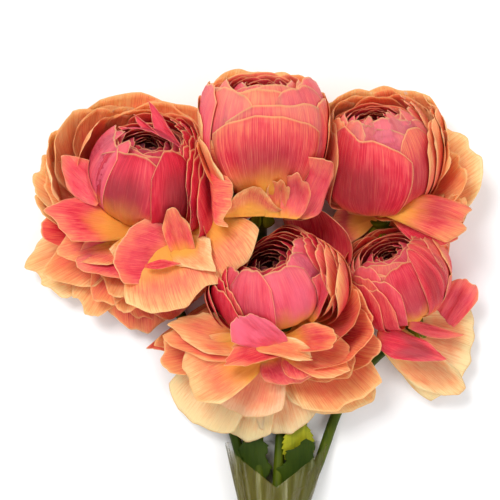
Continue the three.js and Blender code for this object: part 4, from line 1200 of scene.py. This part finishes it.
def closed_rings(rings):
    """Quads between rings of points, and each end closed by quads that meet in its middle."""
    count, sides = rings.shape[:2]
    index = np.arange(count * sides).reshape(count, sides)
    a, b = index[:-1], np.roll(index, -1, axis=1)[:-1]
    c, d = np.roll(index, -1, axis=1)[1:], index[1:]
    walls = np.stack([a, d, c, b], -1).reshape(-1, 4)
    first, last = count * sides, count * sides + 1
    start = np.stack([np.full(sides // 2, first), index[0, 0::2], index[0, 1::2],
                      np.roll(index[0], -2)[0::2]], -1)
    end = np.stack([np.full(sides // 2, last), np.roll(index[-1], -2)[0::2], index[-1, 1::2],
                    index[-1, 0::2]], -1)
    points = np.vstack([rings.reshape(-1, 3), rings[0].mean(axis=0), rings[-1].mean(axis=0)])
    return points, np.vstack([walls, start, end])


def tube(path, radius, sides=24, flute=0.04):
    """Rings of radius * (1 + flute * cos(FLUTES * turn)) square to the path, closed at
    both ends, as (points, quads). The rings' sideways direction stays level."""
    ahead = unit(np.gradient(path, axis=0))
    side = unit(np.cross(ahead, [0, 0, 1.0]))
    up = np.cross(side, ahead)
    turn = np.linspace(0, 2 * math.pi, sides, endpoint=False)[None, :, None]
    ribbed = 1 + flute * np.cos(FLUTES * turn)
    reach = np.broadcast_to(radius, (len(path),))[:, None, None] * ribbed
    rings = path[:, None] + reach * (side[:, None] * np.cos(turn) + up[:, None] * np.sin(turn))
    return closed_rings(rings)


print("points on the crown's stem:", len(curve_through(STEM_WAYS["crown"])))

# %% [markdown]
# ## Leaves
#
# The few leaves in the film are cut into lobes with toothed edges. A leaf is a sheet like
# a petal: its breadth swells and draws in along its length, and the teeth are a saw-like
# wave along both edges. The young leaf of one lobe is paler.

# %% Leaf formula
DARK_LEAF = 0.26
YOUNG_LEAF = 0.95
LEAVES = {
    "crown": [
        dict(base=(5, -126, 7.5), tip=(0, -91, 10.5), face=(0, 0.1, 1), width=18, lobes=3,
             tone=DARK_LEAF),
    ],
    "right": [
        dict(base=(17, -127, 9), tip=(31, -98, 16), face=(0, 0.1, 1), width=20, lobes=3,
             tone=DARK_LEAF),
        dict(base=(25, -114, 8), tip=(25, -88, 12), face=(0.2, 0, 1), width=18, lobes=1,
             tone=YOUNG_LEAF),
    ],
}
LEAF_THICK = 0.45
LOBE_DEPTH = 0.3
TEETH = 9
TOOTH = 0.13
RIB_DEPTH = 0.35


def leaf_sheet(base, tip, face, width, lobes):
    """Breadth: half the width * sin(pi * (0.08 + 0.86 t))^0.8, less LOBE_DEPTH sin^2 for
    each lobe where there are several, less a saw wave for the teeth. The blade is arched,
    droops to its edges and has a groove along its middle."""
    u, t = petal_grid(15, 97)
    base, tip = np.asarray(base, float), np.asarray(tip, float)
    ahead = unit(tip - base)
    up = unit(np.asarray(face, float) - np.dot(face, ahead) * ahead)
    side = np.cross(ahead, up)
    body = np.sin(math.pi * (0.08 + 0.86 * t)) ** 0.8
    lobe = 1 - LOBE_DEPTH * np.sin(math.pi * lobes * t) ** 2 * (lobes > 1)
    tooth = 1 - TOOTH * (TEETH * t % 1) * smooth(np.abs(u), 0.5, 1)
    across = u * width / 2 * body * lobe * tooth
    groove = RIB_DEPTH * np.exp(-(u * 7) ** 2)
    height = -0.9 * np.abs(u) * body + 1.2 * np.sin(math.pi * t) - groove
    along = t * np.linalg.norm(tip - base)
    return base + along[..., None] * ahead + across[..., None] * side + height[..., None] * up


print("leaves in the film:", sum(len(leaves) for leaves in LEAVES.values()))

# %% [markdown]
# ## Green tissue
#
# Stems, sepals and leaves are waxy: a middling roughness and a soft highlight. Noise runs
# long streaks of lighter and darker green, and another noise yellows some places. Both
# read the object's own coordinates in metres.

# %% Green material
GREENS = [
    (0.00, (0.011, 0.028, 0.001)), (0.45, (0.042, 0.070, 0.002)),
    (0.75, (0.130, 0.160, 0.004)), (1.00, (0.360, 0.350, 0.012)),
]
STREAKS = (900.0, 40.0, 900.0)
PATCHES = (60.0, 45.0, 60.0)
GREEN_MIDDLE = 0.6  # the tone at which the noise alone places the green


def green_material():
    """Patches move the green most, streaks a little, and the tone shifts it all."""
    nodes = Nodes("green_tissue")
    place = nodes.parts(nodes.new("ShaderNodeTexCoord").outputs["Object"])
    streaks = nodes.noise(place, STREAKS, 2.0)
    patches = nodes.noise(place, PATCHES, 2.0)
    shade = nodes.plus(nodes.times(patches, 0.8), nodes.times(streaks, 0.25))
    shade = nodes.plus(shade, nodes.less(nodes.mark("tone"), GREEN_MIDDLE))
    nodes.surface(Base_Color=nodes.ramp(shade, GREENS), Roughness=0.5, Specular_IOR_Level=0.12,
                  Subsurface_Weight=0.15, Subsurface_Radius=(0.5, 1.0, 0.2),
                  Subsurface_Scale=0.001)
    nodes.bump(streaks, 0.3, 0.0004)
    return nodes.material


green_tissue = green_material()
print("green material:", len(green_tissue.node_tree.nodes), "nodes")

# %% [markdown]
# ## One green piece for each bloom
#
# Stem, calyx, sepals and leaves of one bloom are joined in a mesh that rides with it. The
# calyx is a short tube that narrows from the bloom's foot to the stem, and its five sepals
# are small open petals. The tone attribute makes sepals and leaves paler or darker than
# their stem.

# %% Grow the greens
COLLAR_DEPTH = 6.0
CALYX_GAP = 0.35
CALYX_DEPTH = 7.0
STEM_START = 2.0  # how far below the calyx's top the stem starts
# How far below the collar and how far out the calyx runs.
CALYX = [(0.1, 4.4), (0.6, 5.2), (2.0, 4.9), (4.0, 4.0), (CALYX_DEPTH, STEM_RADIUS)]
SEPALS = 5
SEPAL_ROOT = (2.4, 2.5)  # how far below the collar, and how far out
SEPAL_TIP = (9.0, 5.5)
SEPAL_WIDTH = 7
SEPAL_THICK = 0.6
STEM_TONE = 0.5
CALYX_TONE = 0.62
SEPAL_TONE = 0.8


def sepals(collar_foot, along, front, right):
    """(points, quads) of each sepal, spaced evenly round the bloom's axis."""
    for i in range(SEPALS):
        turn = 2 * math.pi * (i + 0.5) / SEPALS
        out = front * math.cos(turn) + right * math.sin(turn)
        root = collar_foot - along * SEPAL_ROOT[0] + out * SEPAL_ROOT[1]
        tip = collar_foot - along * SEPAL_TIP[0] + out * SEPAL_TIP[1]
        sheet, u, _ = open_petal(root, tip, out + along, SEPAL_WIDTH, bow=-0.1, crimp=0.1,
                                 grid=(9, 9))
        yield closed_sheet(sheet, np.full(u.shape, SEPAL_THICK / 2))


def green_parts(bloom):
    """(points, quads, tone) of the stem, the calyx, the sepals and the leaves."""
    along, front, right = bloom_axes(bloom["axis"])
    top = bloom["radius"] * bloom["squat"] + COLLAR_DEPTH + CALYX_GAP
    foot = np.asarray(bloom["centre"], float) - along * top
    way = [foot - along * STEM_START, foot - along * CALYX_DEPTH, *STEM_WAYS[bloom["name"]]]
    yield *tube(curve_through(way), STEM_RADIUS), STEM_TONE
    depth, reach = np.array(CALYX).T
    yield *tube(foot - along * depth[:, None], reach, flute=0.02), CALYX_TONE
    for points, faces in sepals(foot, along, front, right):
        yield points, faces, SEPAL_TONE
    for leaf in LEAVES.get(bloom["name"], []):
        shape = {key: leaf[key] for key in leaf if key != "tone"}
        sheet = leaf_sheet(**shape)
        half = np.full(sheet.shape[:2], LEAF_THICK / 2)
        yield *closed_sheet(sheet, half), leaf["tone"]


def grow_green(bloom):
    """Joins a bloom's green parts in one mesh, with their tones, and says what it is."""
    points, faces, tones, count = [], [], [], 0
    for own_points, own_faces, tone in green_parts(bloom):
        points.append(own_points)
        faces.append(own_faces + count)
        tones.append(np.full(len(own_points), tone))
        count += len(own_points)
    piece = link_mesh(bloom["name"] + "_green", np.concatenate(points), np.concatenate(faces))
    attribute = piece.data.attributes.new("tone", "FLOAT", "POINT")
    attribute.data.foreach_set("value", np.concatenate(tones).astype(np.float32))
    piece.data.materials.append(green_tissue)
    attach(piece, "root")
    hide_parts(bloom["name"] + "_stem")
    print(piece.name, "stands for", bloom["name"] + "_stem,", count, "points")


for bloom in (LEFT, CROWN, RIGHT, FRONT, SMALL):
    grow_green(bloom)

# %% [markdown]
# ## The film
#
# Thin brown wrapping film is drawn round the stems. It lies flat on the table, narrows
# where it is gathered, flares below, and its edge dips to a point in front. A profile is
# carried along the bunch: an ellipse with fuller corners, cut flat above and below, and
# long pleats run down from the loose rim to the neck.

# %% Film sleeve
# y, middle x, half width and height of the film.
FILM_SECTIONS = np.array([
    (-100, 13.5, 26.5, 23), (-120, 13, 21.5, 22), (NECK_Y, 11, 10.2, 20.6),
    (-170, 11, 10.8, 21), (-182, 11, 13.5, 22.5),
])
FILM_THICK = 0.3
FILM_INSET = 0.4
FILM_BOXED = 0.62  # 1 would be an ellipse, and less fills out its corners
FILM_FLAT = 1.1  # half heights the profile would reach if the table didn't cut it flat
FILM_LOWEST = 0.25
RIM_DIP = 21.0
BROAD_PLEAT = 0.28
FINE_PLEAT = 0.2


def boxed(s):
    """|s| to the power FILM_BOXED, with the sign of s."""
    return np.sign(s) * np.abs(s) ** FILM_BOXED


def film_sheet(sides=192, along=80):
    """Round it: x = middle + half * boxed(cos) and z = height / 2 * (1 + FILM_FLAT *
    boxed(sin)), held over the table and under the top. Along it: the sections joined by
    straight lines. The rim dips in front to a V, by RIM_DIP * (1 - boxed|cos|), and pleats
    of up to half a millimetre fade to half of that at the foot."""
    turn = np.linspace(0, 2 * math.pi, sides, endpoint=False)[None, :]
    t = np.linspace(0, 1, along)[:, None]
    dip = RIM_DIP * (1 - boxed(np.abs(np.cos(turn)))) * (np.sin(turn) > 0)
    rim = FILM_SECTIONS[0, 0] - dip
    y = rim + (FILM_SECTIONS[-1, 0] - rim) * t
    down = np.linspace(-FILM_SECTIONS[0, 0], -FILM_SECTIONS[-1, 0], along)[:, None]
    middle, half, height = (np.interp(down, -FILM_SECTIONS[:, 0], FILM_SECTIONS[:, i])
                            for i in (1, 2, 3))
    pleat = BROAD_PLEAT * np.sin(23 * turn + 2 * np.sin(3 * turn))
    pleat = pleat + FINE_PLEAT * np.sin(41 * turn + 5)
    inset = FILM_INSET + pleat * (1 - 0.5 * t)
    x = middle + (half - inset) * boxed(np.cos(turn))
    z = height / 2 + (height / 2 - inset) * boxed(np.sin(turn)) * FILM_FLAT
    z = np.clip(z, np.maximum(inset, FILM_LOWEST), height - inset)
    return np.stack([x, y, z], -1)


def closed_band(sheet, thick):
    """Outer and inner skins of a sheet that closes on itself, joined round both rims."""
    rows, sides = sheet.shape[:2]
    wrapped = np.concatenate([sheet[:, -1:], sheet, sheet[:, :1]], axis=1)
    normals = sheet_normals(wrapped)[:, 1:-1]
    both = np.concatenate([(sheet + normals * thick / 2), (sheet - normals * thick / 2)[::-1]])
    index = np.arange(2 * rows * sides).reshape(2 * rows, sides)
    a, b = index, np.roll(index, -1, axis=1)
    c, d = np.roll(b, -1, axis=0), np.roll(a, -1, axis=0)
    return both.reshape(-1, 3), np.stack([a, b, c, d], -1).reshape(-1, 4)


film = link_mesh("wrapping_film", *closed_band(film_sheet(), FILM_THICK))
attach(film, "root")
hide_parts("film_sleeve")
print("wrapping film:", 2 * len(film.data.polygons), "triangles")

# %% [markdown]
# ## Clear brown film
#
# One layer of film hides little. Rather than bend light through it, which is slow and
# noisy, the shader is partly see-through: alpha is highest low down, where the film is
# gathered, and falls off over the loose rim and on the right, where it stands in one layer.

# %% Film material
# Brown tints of the film, and a pale stop that paints highlights along its folds.
FILM_TINTS_AND_HIGHLIGHTS = [
    (0.3, (0.100, 0.075, 0.006)), (0.6, (0.170, 0.150, 0.020)), (0.8, (0.520, 0.490, 0.260)),
]
FOLDS = (420.0, 28.0, 300.0)
RIM_BAND = (-0.066, -0.050)  # metres along Y between the gathered film and the loose rim
GATHERED_ALPHA = 0.50
RIM_ALPHA = 0.12
SIDE_BAND = (0.000, 0.030)  # metres along X over which the right side clears
RIGHT_SHARE = 0.6


def film_material():
    """Tinted along its folds, with painted highlights on the palest fold crests, and with an alpha
    that falls off over the rim and on the right.
    """
    nodes = Nodes("clear_brown_film")
    place = nodes.parts(nodes.new("ShaderNodeTexCoord").outputs["Object"])
    folds_and_highlights = nodes.noise(place, FOLDS, 3.0)
    down = nodes.step(place[1], *RIM_BAND, GATHERED_ALPHA, RIM_ALPHA)
    across = nodes.step(place[0], *SIDE_BAND, 1.0, RIGHT_SHARE)
    nodes.surface(Base_Color=nodes.ramp(folds_and_highlights, FILM_TINTS_AND_HIGHLIGHTS), Roughness=0.22,
                  Alpha=nodes.times(down, across), Specular_IOR_Level=0.5)
    nodes.bump(folds_and_highlights, 0.5, 0.001)
    return nodes.material


film.data.materials.append(film_material())
print("film material:", len(film.active_material.node_tree.nodes), "nodes")

# %% [markdown]
# ## Table and light
#
# The bunch lies on a plain white table. One soft light leans over it from the top left of
# the picture, a broader and weaker one fills from the lower right, and a pale sky lifts
# the shadows.

# %% Floor, lights and sky
FLOOR_HALF = 3.0
TABLE_WHITE = (0.93, 0.93, 0.93, 1)
SKY_STRENGTH = 0.62
AIM = Vector((0, 0.05, BLOOM_HEIGHT * MM))  # the middle of the blooms, in metres

floor_mesh = bpy.data.meshes.new("table")
corners = [(-FLOOR_HALF, -FLOOR_HALF, 0), (FLOOR_HALF, -FLOOR_HALF, 0),
           (FLOOR_HALF, FLOOR_HALF, 0), (-FLOOR_HALF, FLOOR_HALF, 0)]
floor_mesh.from_pydata(corners, [], [(0, 1, 2, 3)])
floor = bpy.data.objects.new("table", floor_mesh)
bpy.context.scene.collection.objects.link(floor)
paint = Nodes("white_table")
paint.surface(Base_Color=TABLE_WHITE, Roughness=0.9)
floor_mesh.materials.append(paint.material)

sky = bpy.data.worlds.new("sky")
bpy.context.scene.world = sky
sky.use_nodes = True
background = sky.node_tree.nodes["Background"]
background.inputs["Color"].default_value = (1, 1, 1, 1)
background.inputs["Strength"].default_value = SKY_STRENGTH


def soft_light(name, place, size, watts):
    """A square area light of that size, aimed at the middle of the blooms."""
    data = bpy.data.lights.new(name, "AREA")
    data.size = size
    data.energy = watts
    obj = bpy.data.objects.new(name, data)
    obj.location = place
    obj.rotation_euler = (AIM - Vector(place)).to_track_quat("-Z", "Y").to_euler()
    bpy.context.scene.collection.objects.link(obj)


soft_light("key", (-0.35, 0.5, 1.0), 0.4, 8.6)
soft_light("fill", (0.6, -0.5, 0.9), 0.8, 5.4)
bpy.context.scene.view_settings.view_transform = "Standard"

# %% [markdown]
